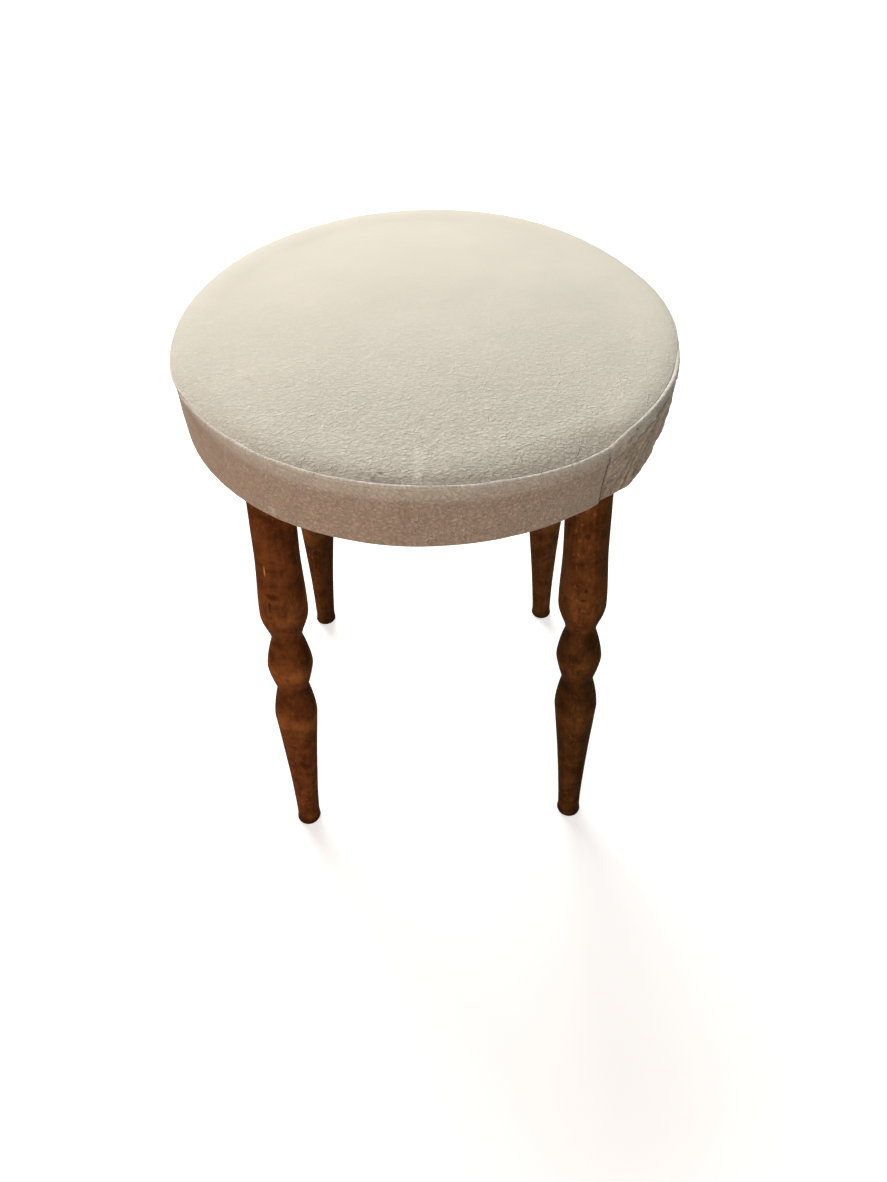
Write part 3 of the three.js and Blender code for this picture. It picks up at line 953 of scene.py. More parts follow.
@dataclass
class Padding:
    """Foam pad and wadding under the cover. The foam is swollen by a cloth simulation."""

    form: SeatForm
    sides: int = 180
    foam_inset: float = 7.4 * MM
    foam_depth: float = 5.0 * MM
    soft_edge: float = 2.9 * MM
    edge_ease: float = 7 * MM
    swelling: float = 2.4 * MM
    farthest: float = 5 * MM
    voxel: float = 5 * MM
    pressure: float = 4.0
    quality: int = 6
    frames: int = 20
    least_move: float = 0.005 * MM
    relax_share: float = 0.5
    relax_rounds: int = 6
    base_shares: tuple[float, ...] = (0.85, 0.5, 0.05)
    even_rounds: int = 3
    even_shares: Ends = (0.84, 0.95)
    wadding: float = 3 * MM
    wadding_gap: float = 0.3 * MM
    steep_shares: Ends = (0.72, 0.9)
    resting_shares: Ends = (0.80, 0.72)
    tufts: Ripple = Ripple(14 * MM, 0.0, 0.35 * MM)

    def _outline(self, room: float) -> Array:
        """Rings of the pad's crowned top, soft edge, side and flat base, lowered by room in the middle."""
        form = self.form
        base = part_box("foam_pad")[0].z
        azimuth = full_turn(self.sides)
        rings = []
        reach_share = 1 - (self.foam_inset + self.edge_ease) / form.radius
        edge = form.rim(azimuth, form.seam) - self.foam_inset
        for share in np.linspace(0.02, reach_share, 30):
            height = form.seam + form.crown(share) - self.foam_depth - room * (1 - share**2)
            rings.append(round_points(azimuth, form.rim(azimuth, form.seam) * share, height))
        top = form.seam + form.crown(reach_share) - self.foam_depth - room * (1 - reach_share**2)
        for turn in np.linspace(0, math.pi / 2, 8)[1:]:
            out = edge - self.edge_ease * (1 - math.sin(turn))
            rings.append(round_points(azimuth, out, top - self.edge_ease * (1 - math.cos(turn))))
        for height in np.linspace(top - self.edge_ease, base, 6)[1:]:
            rings.append(round_points(azimuth, form.rim(azimuth, height) - self.foam_inset, height))
        foot = form.rim(azimuth, base) - self.foam_inset
        for share in self.base_shares:
            rings.append(round_points(azimuth, foot * share, base))
        return np.array(rings)

    def _swell(self, pad: Piece) -> None:
        """Blows the pad up like a cushion, held at its base and side, and caps how far it moves."""
        even = pad.modifiers.new("even_faces", "REMESH")
        even.mode = "VOXEL"
        even.voxel_size = self.voxel
        settled(pad)
        rest = self._corners(pad)
        reach = np.hypot(rest[:, 0], rest[:, 1])
        azimuth = np.arctan2(rest[:, 1], rest[:, 0])
        edge = self.form.rim(azimuth, self.form.seam) - self.foam_inset - self.edge_ease
        base = rest[:, 2].min()
        held = pad.vertex_groups.new(name="held")
        fixed = (reach > edge) | (rest[:, 2] < base + self.voxel)
        held.add(np.flatnonzero(fixed).tolist(), 1.0, "REPLACE")
        cloth = pad.modifiers.new("swelling", "CLOTH")
        cloth.settings.quality = self.quality
        cloth.settings.use_pressure = True
        cloth.settings.uniform_pressure_force = self.pressure
        cloth.settings.vertex_group_mass = held.name
        cloth.settings.effector_weights.gravity = 0
        cloth.collision_settings.use_collision = False
        cloth.point_cache.frame_end = self.frames
        for number in range(1, self.frames + 1):
            bpy.context.scene.frame_set(number)
        settled(pad)
        bpy.context.scene.frame_set(1)
        moved = self._corners(pad) - rest
        far = np.linalg.norm(moved, axis=1, keepdims=True)
        LOG.info("padding swelled by up to %.1f mm", far.max() / MM)
        moved *= np.minimum(1, self.farthest / np.maximum(far, self.least_move))
        pad.data.vertices.foreach_set("co", (rest + moved).astype(np.float32).ravel())

    @staticmethod
    def _corners(pad: Piece) -> Array:
        """The pad's corners as an array."""
        places = np.zeros(len(pad.data.vertices) * 3, np.float32)
        pad.data.vertices.foreach_get("co", places)
        return places.reshape(-1, 3).astype(float)

    def build_foam(self) -> Piece:
        """The foam pad, swollen."""
        pad = ringed_mesh("foam_cushion", self._outline(self.swelling), True, True, True)
        self._swell(pad)
        relax = pad.modifiers.new("relaxed", "SMOOTH")
        relax.factor = self.relax_share
        relax.iterations = self.relax_rounds
        finer = pad.modifiers.new("finer", "SUBSURF")
        finer.levels = 1
        finer.render_levels = finer.levels
        settled(pad)
        pad.data.shade_smooth()
        return pad

    def top_of(self, foam: Piece, places: Array) -> Array:
        """Height of the foam's top under each place, found by looking down on it and evened out.

        Args:
            foam: The foam pad, swollen or not.
            places: Rings of points, of which only the place seen from above counts.

        Returns:
            A height for each point, and the form's own height beyond the soft edge.
        """
        form = self.form
        tree = BVHTree.FromObject(foam, bpy.context.evaluated_depsgraph_get())
        azimuth = np.arctan2(places[..., 1], places[..., 0])
        reach = np.hypot(places[..., 0], places[..., 1])
        rim = form.rim(azimuth, form.seam)
        even = form.seam + form.crown(np.minimum(reach / rim, 1.0)) - self.foam_depth
        down = Vector((0, 0, -1))
        above = form.seam + 2 * form.crown_rise
        looked = [tree.ray_cast(Vector((x, y, above)), down)[0] for x, y in places[..., :2].reshape(-1, 2)]
        found = np.array([math.nan if hit is None else hit.z for hit in looked]).reshape(reach.shape)
        heights = np.where(np.isnan(found), even, found)
        for _ in range(self.even_rounds):
            heights[1:-1] = (heights[:-2] + 2 * heights[1:-1] + heights[2:]) / 4
            heights = (np.roll(heights, 1, 1) + 2 * heights + np.roll(heights, -1, 1)) / 4
        toward_rim = eased(reach / (rim - self.soft_edge), *self.even_shares)
        return heights * (1 - toward_rim) + even * toward_rim

    def build_wadding(self, foam: Piece) -> Piece:
        """The wadding, an even layer over the foam's top and side."""
        outer = self._outline(0)[: -len(self.base_shares)]
        share = np.linspace(0, 1, len(outer))[:, None]
        lift = self.wadding + self.wadding_gap
        reach = np.hypot(outer[..., 0], outer[..., 1])
        steep = eased(share, *self.steep_shares)
        resting = eased(reach, *(part * self.form.radius for part in self.resting_shares))
        outer[..., 2] += (self.top_of(foam, outer) - outer[..., 2]) * resting
        outer[..., 2] += lift * (1 - steep)
        outer[..., :2] *= (1 + lift * steep / reach)[..., None]
        outer[..., 2] += self.tufts.at(outer) * (1 - steep)
        sheet = ringed_mesh("fibre_wadding", outer, True, True)
        return thickened(sheet, self.wadding)

    def dress(self, finishes: Finishes) -> Piece:
        """Builds the foam and wadding with their materials, and returns the foam."""
        foam = self.build_foam()
        dressed(foam, finishes.foam)
        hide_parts("foam_pad")
        wadding = dressed(self.build_wadding(foam), finishes.wadding)
        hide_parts("wadding_layer")
        return foam


@dataclass(frozen=True)
class Crease:
    """A fold line in the cloth, from one azimuth and height to another. Its lengths are millimetres."""

    start: tuple[float, float]
    end: tuple[float, float]
    depth: float
    width: float
    banks: Bell = Bell(2.1, 1.4, 0.45)
    fade: Span = (-0.25, 0.2, 0.8, 1.25)

    def sink(self, along: Array, height: Array, radius: float) -> Array:
        """How far the crease moves the cloth, in at its line and out on both sides of it.

        Args:
            along: Azimuths on the cloth, in degrees.
            height: Heights on the cloth.
            radius: The radius that turns azimuths into lengths.

        Returns:
            The move outwards at each place.
        """
        across = math.radians(1) * radius
        x, y = along * across, height
        x1, y1 = self.start[0] * across, self.start[1] * MM
        x2, y2 = self.end[0] * across, self.end[1] * MM
        length = math.hypot(x2 - x1, y2 - y1)
        run = ((x - x1) * (x2 - x1) + (y - y1) * (y2 - y1)) / length**2
        nearest = np.clip(run, 0, 1)
        away = np.hypot(x - x1 - nearest * (x2 - x1), y - y1 - nearest * (y2 - y1)) / (self.width * MM)
        return between(run, self.fade) * self.depth * MM * (self.banks.at(away) - hump(away, 0, 1))


@dataclass
class Cover:
    """Cream cover of the seat: top panel, side band with its lapped joint, and the welt between."""

    form: SeatForm
    padding: Padding
    # Top panel
    panel_sides: int = 300
    inner_rings: tuple[float, float, int] = (0.012, 0.88, 54)
    edge_rings: tuple[float, int] = (0.886, 24)
    brim_start: float = 0.85
    panel_inset: float = 2.55 * MM
    panel_turn: float = 1.0 * MM
    panel_low: float = 1.2 * MM
    panel_over_welt: float = 2.5 * MM
    edge_rise: float = 0.8 * MM
    edge_reach: float = 14 * MM
    edge_light: float = 0.35
    bulge: float = 1.6 * MM
    bulge_start: float = 5 * MM
    bulge_reach: float = 27 * MM
    panel_waves: tuple[Ripple, ...] = (Ripple(46 * MM, 3.1, 0.55 * MM), Ripple(17 * MM, 8.4, 0.18 * MM))
    wave_ends: Ends = (2 * MM, 12 * MM)
    lift_reach: float = 20 * MM
    gathers: Gathers = Gathers(61, 2.0, 5)
    gather_reach: Bell = Bell(0.0, 9 * MM, 0.12 * MM)
    overhangs: Table = (
        (-180, 3.6), (-160, 4.8), (-148, 2.2), (-136, 1.1), (-22, 1.1), (-4, 3.0),
        (35, 2.4), (60, 3.4), (115, 3.6), (142, 3.2), (180, 3.6),
    )
    loose_ends: Ends = (1.3 * MM, 3.2 * MM)
    billows: Table = (
        (-180, 1.1), (-162, 1.1), (-145, 0.2), (-25, 0.0), (-2, 1.1),
        (40, 1.1), (65, 1.9), (95, 1.5), (142, 1.7), (180, 1.1),
    )
    # Pinched pleat and streak at the front, with their painted light and shade, and painted shade along the
    # seam
    pleat: Crease = Crease((-101.6, 0.0), (-98.9, 8.0), 0.7, 0.9)
    pleat_scale: float = 1.7 * MM
    pinch: tuple[Bell, Bell] = (Bell(-99.8, 2.4), Bell(0.0, 8 * MM))
    pinch_shadow: tuple[Bell, Bell] = (Bell(-100.6, 1.5), Bell(0.0, 2.2 * MM, 0.35))
    crush: Ripple = Ripple(4.5 * MM, 1.7, 1.0)
    crush_height: float = 0.4 * MM
    crush_shading: float = 0.5
    streak: Bell = Bell(-92.4, 0.17)
    streak_ends: Ends = (138 * MM, 150 * MM)
    streak_fade: float = 2 * MM
    streak_height: float = 0.2 * MM
    streak_highlight: float = 0.38
    rim_shadows: tuple[Bell, Bell] = (Bell(2.6 * MM, 4.6 * MM, 0.72), Bell(0.0, 13 * MM, 0.52))
    front_shadow: Bell = Bell(-88.0, 48.0, 0.40)
    flange: float = 8 * MM
    # Side band and its lapped joint
    column_counts: tuple[int, ...] = (8, 280, 236, 24)
    fold_over: float = 0.35 * MM
    over_drop: float = 1.7 * MM
    over_rise: float = 0.8 * MM
    over_crumple: float = 0.4
    allowance_inset: float = 2.0 * MM
    allowance_drops: tuple[float, ...] = (9.5 * MM, 7.0 * MM, 4.5 * MM, 2.6 * MM)
    face_drop: float = 1.9 * MM
    shoulder: float = 1.5 * MM
    shoulder_drop: float = 10 * MM
    lap: float = 14 * MM
    lap_step: float = 0.65 * MM
    lap_shares: Ends = (1.4, 0.6)
    tuck_ends: Ends = (2 * MM, 8 * MM)
    crumple_end: float = math.radians(2)
    fold: float = 0.6 * MM
    fold_return: float = 9 * MM
    # Painted shade on the turned fold and in the crevice at the joint, and where it fades.
    fold_shade: float = 1.6
    fold_shade_ends: Ends = (0.9, 1.6)
    crevice_shade: float = 1.7
    joint_ends: Ends = (1.9 * MM, 2.7 * MM)
    joint_drops: Ends = (5 * MM, 10 * MM)
    joint_degrees: float = -52.7
    folded_degrees: float = 358.0
    shade_limits: Ends = (-1.7, 1.0)
    low_bulge: float = 0.8 * MM
    low_round: float = 1.8 * MM
    lip_drop: float = 1.6 * MM
    lip_rise: float = 0.9 * MM
    lip_span: Span = (-54.0, -48.0, -14.0, 14.0)
    # Rolls and dents of the band's face
    roll: float = 0.9 * MM
    roll_height: float = 4 * MM
    side_roll: Bell = Bell(-24.0, 8.0, 0.8 * MM)
    under_roll: Bell = Bell(5.2 * MM, 1.5 * MM)
    under_roll_depth: float = 0.8 * MM
    # Painted shade under the roll.
    under_roll_shade: float = 0.30
    allowance_ridge: Bell = Bell(6.0 * MM, 2.6 * MM, 0.35 * MM)
    allowance_edge: Bell = Bell(10.5 * MM, 1.8 * MM)
    allowance_depth: float = 0.3 * MM
    # Painted shade at the allowance's edge.
    allowance_shade: float = 0.10
    left: Bell = Bell(-155.0, 22.0)
    left_dent: Bell = Bell(8 * MM, 4.5 * MM, 1.5 * MM)
    left_shadow: Bell = Bell(7 * MM, 3.0 * MM, 0.45)
    band_waves: tuple[Ripple, ...] = (Ripple(38 * MM, 1.3, 0.5 * MM), Ripple(12 * MM, 6.2, 0.16 * MM))
    # Crumples beside the joint, and their painted light and shade
    crumple_span: Span = (-53.0, -51.5, -24.0, 2.0)
    crumple_slope: float = 54.0
    crumple_drops: Ends = (1.5 * MM, 4.5 * MM)
    crumple_least: float = 0.35
    slant_share: float = 0.30
    cross_share: float = 0.45
    cross_level: float = 0.2
    broad: Ripple = Ripple(4.6 * MM, 2.7, 1.0)
    narrow: Ripple = Ripple(2.2 * MM, 5.9, 1.0)
    cross: Ripple = Ripple(3.4 * MM, 8.3, 1.0)
    fine: Ripple = Ripple(2.1 * MM, 4.1, 1.0)
    cracks: Bell = Bell(0.0, 0.12)
    crack_ends: Ends = (0.35, -0.25)
    rumple_heights: tuple[float, ...] = (0.90 * MM, 0.42 * MM, 0.50 * MM, 0.15 * MM, -0.45 * MM)
    # Scales and shares of the painted light and shade on the creases and crumples, and of the painted shade
    # below the ridge.
    crease_scale: float = 1.3 * MM
    rumple_scale: float = 1.4 * MM
    fine_shading: float = 0.25
    crack_shade: float = 0.30
    top_shade: float = 0.10
    top_span: Span = (0.5 * MM, 3 * MM, 6 * MM, 16 * MM)
    creases: tuple[Crease, ...] = (
        Crease((-40.2, 431.5), (-46.6, 405.0), 1.9, 0.9),
        Crease((-33.5, 437.0), (-38.7, 426.5), 1.3, 1.0),
        Crease((-52.2, 424.0), (-47.8, 430.0), 0.9, 0.8),
        Crease((-47.8, 430.0), (-43.4, 427.0), 0.8, 0.8),
        Crease((-51.8, 414.5), (-48.6, 421.5), 0.8, 0.8),
        Crease((-50.6, 407.5), (-47.4, 413.5), 0.6, 0.8),
        Crease((-36.5, 423.0), (-43.2, 407.0), 1.2, 0.9),
        Crease((-29.5, 431.0), (-37.5, 413.0), 1.2, 1.1),
        Crease((-24.0, 436.0), (-31.0, 417.0), 1.0, 1.2),
        Crease((-18.0, 437.0), (-26.0, 420.0), 0.9, 1.3),
        Crease((-44.5, 438.5), (-52.3, 434.0), 0.9, 0.9),
        Crease((-24.0, 441.5), (-44.0, 439.0), 1.3, 1.3),
        Crease((-30.0, 436.5), (-47.0, 434.5), 0.8, 0.9),
    )
    # Low edge and hem
    low_ends: Ends = (2 * MM, 16 * MM)
    low_gathers: Gathers = Gathers(88, 3.0, 7)
    low_gather_reach: Ripple = Ripple(40 * MM, 4.4, 0.22 * MM)
    low_sag: Ripple = Ripple(45 * MM, 9.2, 0.45 * MM)
    pulled_span: Span = (-36.0, -30.0, -4.0, 14.0)
    pulled_in: float = 1.1 * MM
    pulled_up: float = 1.6 * MM
    corner_out: Bell = Bell(-42.5, 4.5, 2.3 * MM)
    corner_drop: Bell = Bell(-44.4, 3.0, 1.0 * MM)
    hem_radius: float = 139.6 * MM
    hem_notch: Bell = Bell(0.0, 4.6, 14 * MM)
    hem_tuck: float = 0.26 * MM
    hem_back: float = 1.1 * MM
    hem_pleats: Gathers = Gathers(47, 2.5, 6)
    hem_pleat: float = 0.42 * MM
    hem_pleat_power: float = 0.6
    hem_settling: tuple[float, ...] = (0.22, 0.35, 0.3)
    # Welt
    welt_sides: int = 540
    welt_radius: float = 1.5 * MM
    welt_inset: float = 0.9 * MM
    welt_rise: float = 0.1 * MM
    welt_flange: float = 8 * MM
    welt_tail: float = 0.3 * MM
    tail_inset: float = 1.75 * MM
    tail_shares: Ends = (0.78, 0.90)
    welt_bulges: tuple[Bell, ...] = (Bell(-152.0, 8.0, 1.3 * MM), Bell(-24.0, 8.0, 0.91 * MM))
    welt_waves: Ripple = Ripple(16 * MM, 7.7, 0.28 * MM)
    welt_tones: tuple[Ripple, ...] = (Ripple(3 * MM, 2.2, 0.12), Ripple(9 * MM, 5.2, 0.10))
    welt_shadow: Bell = Bell(-155.0, 18.0, 0.45)
    # Thread in the seam allowance
    thread_ends: Ends = (-83.0, -53.6)
    thread_span: Span = (-84.0, -76.0, -54.5, -53.2)
    thread_drop: float = 7.5 * MM
    thread_fall: float = 4.0 * MM
    thread_fall_ends: Ends = (-82.0, -54.0)
    thread_gap: float = 3.0 * MM
    thread_ridge: float = 0.30 * MM
    thread_ridge_width: float = 0.5 * MM
    second_ridge: float = 0.6
    # Painted highlight on the thread's ridge.
    thread_highlight: float = 0.45
    thread_radius: float = 0.16 * MM
    thread_proud: float = 0.05 * MM
    stitch: float = 2.3 * MM
    stitch_pitch: float = 3.2 * MM

    def _lap_step(self, azimuth: Array) -> Array:
        """How far the band's folded end stands out, just before the joint."""
        form = self.form
        start, end = (form.lap_azimuth - share * self.lap / form.radius for share in self.lap_shares)
        return self.lap_step * eased(azimuth, start, end)

    def _thread_height(self, degrees: Array) -> Array:
        """Height of the thread on the band, below the seam."""
        fall = self.thread_fall * eased(degrees, *self.thread_fall_ends)
        return self.form.seam - self.thread_drop - fall

    def _panel_marks(
        self, degrees: Array, radius: Array, to_seam: Array, points: Array
    ) -> tuple[Array, Array]:
        """The pinched pleat and the raised streak at the front of the top panel, with their painted light and
        shade.

        Args:
            degrees: Azimuths of the points.
            radius: Their distance from the seat's middle.
            to_seam: Their distance from the seam.
            points: The points themselves, for the random part.

        Returns:
            The rise at each point, and how far it is on a ridge or in a fold, for its painted light and
            shade.
        """
        pinch, shadow = (a.at(degrees) * b.at(to_seam) for a, b in (self.pinch, self.pinch_shadow))
        crush = self.crush.at(points) * pinch
        pleat = self.pleat.sink(degrees, to_seam, self.form.radius)
        streak = self.streak.at(degrees) * eased(radius, *self.streak_ends)
        rise = crush * self.crush_height + pleat
        rise = rise + self.streak_height * streak * eased(to_seam, 0, self.streak_fade)
        # Painted highlight on the streak, painted light and shade on the crushed cloth and the pleat, and a
        # painted shadow beside the pinch.
        folds = self.streak_highlight * streak + self.crush_shading * crush + pleat / self.pleat_scale
        return rise, folds - shadow

    def build_panel(self, foam: Piece) -> Piece:
        """The round top panel, laid over the swollen padding and turned down at the seam."""
        form = self.form
        azimuth = full_turn(self.panel_sides)
        degrees = front_degrees(azimuth)
        rim = form.rim(azimuth, form.seam)
        edge = rim - self.panel_inset
        over = stepped(degrees, self.overhangs)
        loose = eased(over, *self.loose_ends)
        billow = stepped(degrees, self.billows)
        last_share = 1 - self.panel_turn / form.radius
        edge_start, edge_count = self.edge_rings
        near_edge = np.linspace(edge_start, last_share, edge_count)
        shares = np.concatenate([np.linspace(*self.inner_rings), near_edge])
        even_radius = shares[:, None] * edge[None, :]
        radius = even_radius + over * eased(shares, self.brim_start, last_share)[:, None]
        to_seam = edge - even_radius
        places = round_points(azimuth, even_radius, form.seam + form.crown(even_radius / rim))
        height = self.padding.top_of(foam, places) + self.padding.foam_depth
        LOG.info("middle of the seat at %.1f mm", height[0].mean() / MM)
        points = round_points(azimuth, radius, height)
        height += sum(wave.at(points) for wave in self.panel_waves) * eased(to_seam, *self.wave_ends)
        height += form.lift(azimuth) * (1 - eased(to_seam, 0, self.lift_reach))
        bulge = (1 - np.exp(-to_seam / self.bulge_start)) * hump(to_seam, 0, self.bulge_reach)
        height += (self.bulge + billow) * bulge
        height += (self.edge_rise + billow) * np.exp(-to_seam / self.edge_reach)
        height += self.gathers.at(azimuth) * self.gather_reach.at(to_seam)
        rise, folds = self._panel_marks(degrees, radius, to_seam, points)
        height += rise
        # Painted shade along the seam at the front, where the panel is snug on the welt.
        shadow = sum(bell.at(to_seam) for bell in self.rim_shadows)
        folds -= shadow * (1 - loose) * self.front_shadow.at(degrees)
        rings = [*round_points(azimuth, radius, height)]
        top = height[-1]
        low = form.seam + form.lift(azimuth) - self.panel_low + self.panel_over_welt * loose
        for turn in np.linspace(0, math.pi, 9)[1:]:
            if turn < math.pi / 2:
                out = radius[-1] + (edge + over - radius[-1]) * math.sin(turn)
            else:
                out = edge + over * math.sin(turn)
            rings.append(round_points(azimuth, out, low + (top - low) * (1 + math.cos(turn)) / 2))
        for depth in np.linspace(0, self.flange, 5)[1:]:
            rings.append(round_points(azimuth, edge, low - depth))
        # The turned edge is lightened: painted light in the groove beside the welt.
        turned = np.repeat(folds[-1:] + self.edge_light, len(rings) - len(folds), axis=0)
        shade = np.concatenate([folds, turned])
        panel = ringed_mesh("top_panel_cloth", np.array(rings), True, True, folds=shade)
        return thickened(panel, form.cloth)

    def _band_columns(self) -> tuple[Array, Array, Array]:
        """Columns of the side band, from its tucked end round to its folded end.

        Returns:
            Each column's azimuth, its step outwards, and its painted shade at the joint.
        """
        form = self.form
        lap_angle = self.lap / form.radius
        fold_angle = self.fold / form.radius
        start, end = form.lap_azimuth, form.lap_azimuth + 2 * math.pi
        last_start = end - lap_angle * self.lap_shares[0]
        stops = (start - lap_angle, start, self.crumple_end, last_start, end - fold_angle)
        spans = zip(stops, stops[1:], self.column_counts)
        straight = np.concatenate([np.linspace(*span, endpoint=False) for span in spans])
        away = (straight - start) * form.radius
        step = self._lap_step(straight - 2 * math.pi)
        step -= self.lap_step * (1 - eased(away, *self.tuck_ends))
        # Painted shade in the crevice beside the folded end.
        shade = -self.crevice_shade * (1 - eased(np.abs(away), *self.joint_ends))
        turns = np.linspace(0, math.pi, 9)
        turned = end - fold_angle + fold_angle * np.sin(turns)
        turned_step = self.lap_step - self.fold * (1 - np.cos(turns))
        # Painted shade on the turned fold.
        turned_shade = -self.fold_shade * eased(turns, *self.fold_shade_ends)
        back = np.linspace(turned[-1], turned[-1] - self.fold_return / form.radius, 6)[1:]
        return (
            np.concatenate([straight, turned, back]),
            np.concatenate([step, turned_step, np.full(len(back), turned_step[-1])]),
            np.concatenate([shade, turned_shade, np.full(len(back), turned_shade[-1])]),
        )

    def _face(self, height: float) -> float:
        """How far the band's plain side stands out from the rim at a height."""
        form = self.form
        drop = form.seam - height
        low = form.seam - form.low_edge + self.lip_drop - self.low_round
        out = self.shoulder * math.sin(min(drop / self.shoulder_drop, 1) * math.pi / 2) - self.fold_over
        ease = float(eased(drop, self.shoulder_drop, low))
        return out - (self.shoulder - self.fold_over - self.low_bulge) * ease

    def _band_rows(self) -> list[tuple[float, float, float]]:
        """Rows of the band from its sewn edge, over the seam, down the side and round its low edge.

        Returns:
            For each row its move out from the rim, its height, and how far the crumples reach it.
        """
        form = self.form
        inner = -self.allowance_inset
        rows = [(inner, form.seam - drop, 0.0) for drop in self.allowance_drops]
        middle, half = (inner - self.fold_over) / 2, (-self.fold_over - inner) / 2
        for turn in np.linspace(0, math.pi, 7)[1:-1]:
            top = form.seam - self.over_drop + self.over_rise * math.sin(turn)
            rows.append((middle - half * math.cos(turn), top, self.over_crumple * turn / math.pi))
        low = form.low_edge - self.lip_drop + self.low_round
        for height in np.linspace(form.seam - self.face_drop, low, 50):
            rows.append((self._face(height), height, 1.0))
        out = self._face(low)
        for turn in np.linspace(0, math.pi / 2, 5)[1:]:
            inwards = self.low_round * (math.cos(turn) - 1)
            rows.append((out + inwards, low - self.low_round * math.sin(turn), 1 - turn / math.pi * 2))
        return rows

    def _rumple(self, degrees: Array, height: Array, points: Array) -> tuple[Array, Array]:
        """Random crumples, drawn out along the slope of the folds beside the joint.

        Args:
            degrees: Azimuths of the points.
            height: Heights of the points.
            points: The points themselves.

        Returns:
            The move outwards at each point, and how far it is on a ridge or in a fold, for its painted light
            and shade.
        """
        around = self.form.radius * np.radians(degrees)
        slope = math.radians(self.crumple_slope)
        across = around * math.sin(slope) - height * math.cos(slope)
        along = around * math.cos(slope) + height * math.sin(slope)
        slanted = np.stack([across, self.slant_share * along, np.zeros_like(along)], axis=-1)
        crossed = np.stack([self.cross_share * across, along, np.full_like(along, self.cross_level)], axis=-1)
        broad, narrow = self.broad.at(slanted), self.narrow.at(slanted)
        cross, fine = self.cross.at(crossed), self.fine.at(points)
        cracks = self.cracks.at(narrow) * eased(broad, *self.crack_ends)
        kinds = zip((broad, narrow, cross, fine, cracks), self.rumple_heights, strict=True)
        rumple = sum(kind * reach for kind, reach in kinds)
        # Painted light and shade on the crumples, darker in the cracks.
        return rumple, rumple / self.rumple_scale + self.fine_shading * fine - self.crack_shade * cracks

    def _crumple(self, degrees: Array, height: Array, points: Array) -> tuple[Array, Array]:
        """Crumples of the band's face: the soft roll, the creases beside the joint, and slow waves.

        Args:
            degrees: Azimuths of the points.
            height: Heights of the points.
            points: The points themselves, for the random part.

        Returns:
            The move outwards at each point, and how far it is on a ridge or in a fold, for its painted light
            and shade.
        """
        form = self.form
        drop = form.seam + form.lift(np.radians(degrees)) - height
        lip = between(degrees, self.lip_span)
        roll = np.sin(np.pi * np.clip(drop / self.roll_height, 0, 1))
        valley = self.under_roll.at(drop) * lip
        move = (self.roll * lip + self.side_roll.at(degrees)) * roll - self.under_roll_depth * valley
        allowance = self.allowance_edge.at(drop) * (1 - lip)
        move += self.allowance_ridge.at(drop) * (1 - lip) - self.allowance_depth * allowance
        left = self.left.at(degrees)
        move -= left * self.left_dent.at(drop)
        near = between(degrees, self.crumple_span)
        body = eased(drop, *self.crumple_drops)
        creased = body * sum(crease.sink(degrees, height, form.radius) for crease in self.creases)
        rumple, rumple_shade = self._rumple(degrees, height, points)
        move += near * (creased + (self.crumple_least + (1 - self.crumple_least) * body) * rumple)
        move += sum(wave.at(points) for wave in self.band_waves)
        line = self._thread_height(degrees)
        ridge = hump(height, line, self.thread_ridge_width)
        ridge = ridge + self.second_ridge * hump(height, line - self.thread_gap, self.thread_ridge_width)
        thread = ridge * between(degrees, self.thread_span)
        move += self.thread_ridge * thread
        # Painted shade in the creases, crumples and cracks, below the ridge, under the roll and at the
        # allowance's edge, a painted shadow on the left, and a painted highlight on the thread's ridge.
        shade = near * (creased / self.crease_scale + rumple_shade)
        shade -= self.top_shade * near * between(drop, self.top_span)
        shade += self.thread_highlight * thread - left * self.left_shadow.at(drop)
        shade -= self.under_roll_shade * valley + self.allowance_shade * allowance
        return move, shade

    def build_band(self) -> Piece:
        """The side band as one strip, with its folded end lying over its tucked end."""
        form = self.form
        azimuth, step, joint = self._band_columns()
        degrees = np.degrees(azimuth)
        degrees = np.where(degrees > 180, degrees - 360, degrees)
        seam_lift = form.lift(azimuth)
        lift = seam_lift + self.lip_rise * between(degrees, self.lip_span)
        ends = (np.degrees(azimuth - azimuth[0]) > self.folded_degrees) | (degrees < self.joint_degrees)
        lift = np.where(ends, np.minimum(lift, seam_lift), lift)
        pulled = between(degrees, self.pulled_span)
        rings, shades = [], []
        for out, level, crumple in self._band_rows():
            height = np.full_like(azimuth, level) + lift * form.softness(level)
            radius = form.rim(azimuth, level) + out + step
            points = round_points(azimuth, radius, height)
            move, shade = self._crumple(degrees, height, points)
            low = 1 - eased(level - form.low_edge, *self.low_ends)
            gathers = self.low_gathers.at(azimuth) * self.low_gather_reach.at(points)
            bulge = self.corner_out.at(degrees) - self.pulled_in * pulled + gathers
            sag = self.low_sag.at(points * (1, 1, 0)) + self.pulled_up * pulled - self.corner_drop.at(degrees)
            rings.append(round_points(azimuth, radius + crumple * move + low * bulge, height + sag * low))
            # Painted shade of the crevice at the joint, from a little below the seam downwards.
            shades.append(crumple * (shade + joint * float(eased(form.seam - level, *self.joint_drops))))
        hem = self._hem_rings(azimuth, step, rings[-1])
        shades.extend([np.zeros_like(azimuth)] * len(hem))
        shade = np.clip(np.array(shades), *self.shade_limits)
        band = ringed_mesh("side_band_cloth", np.array(rings + hem), False, folds=shade)
        return thickened(band, form.cloth)

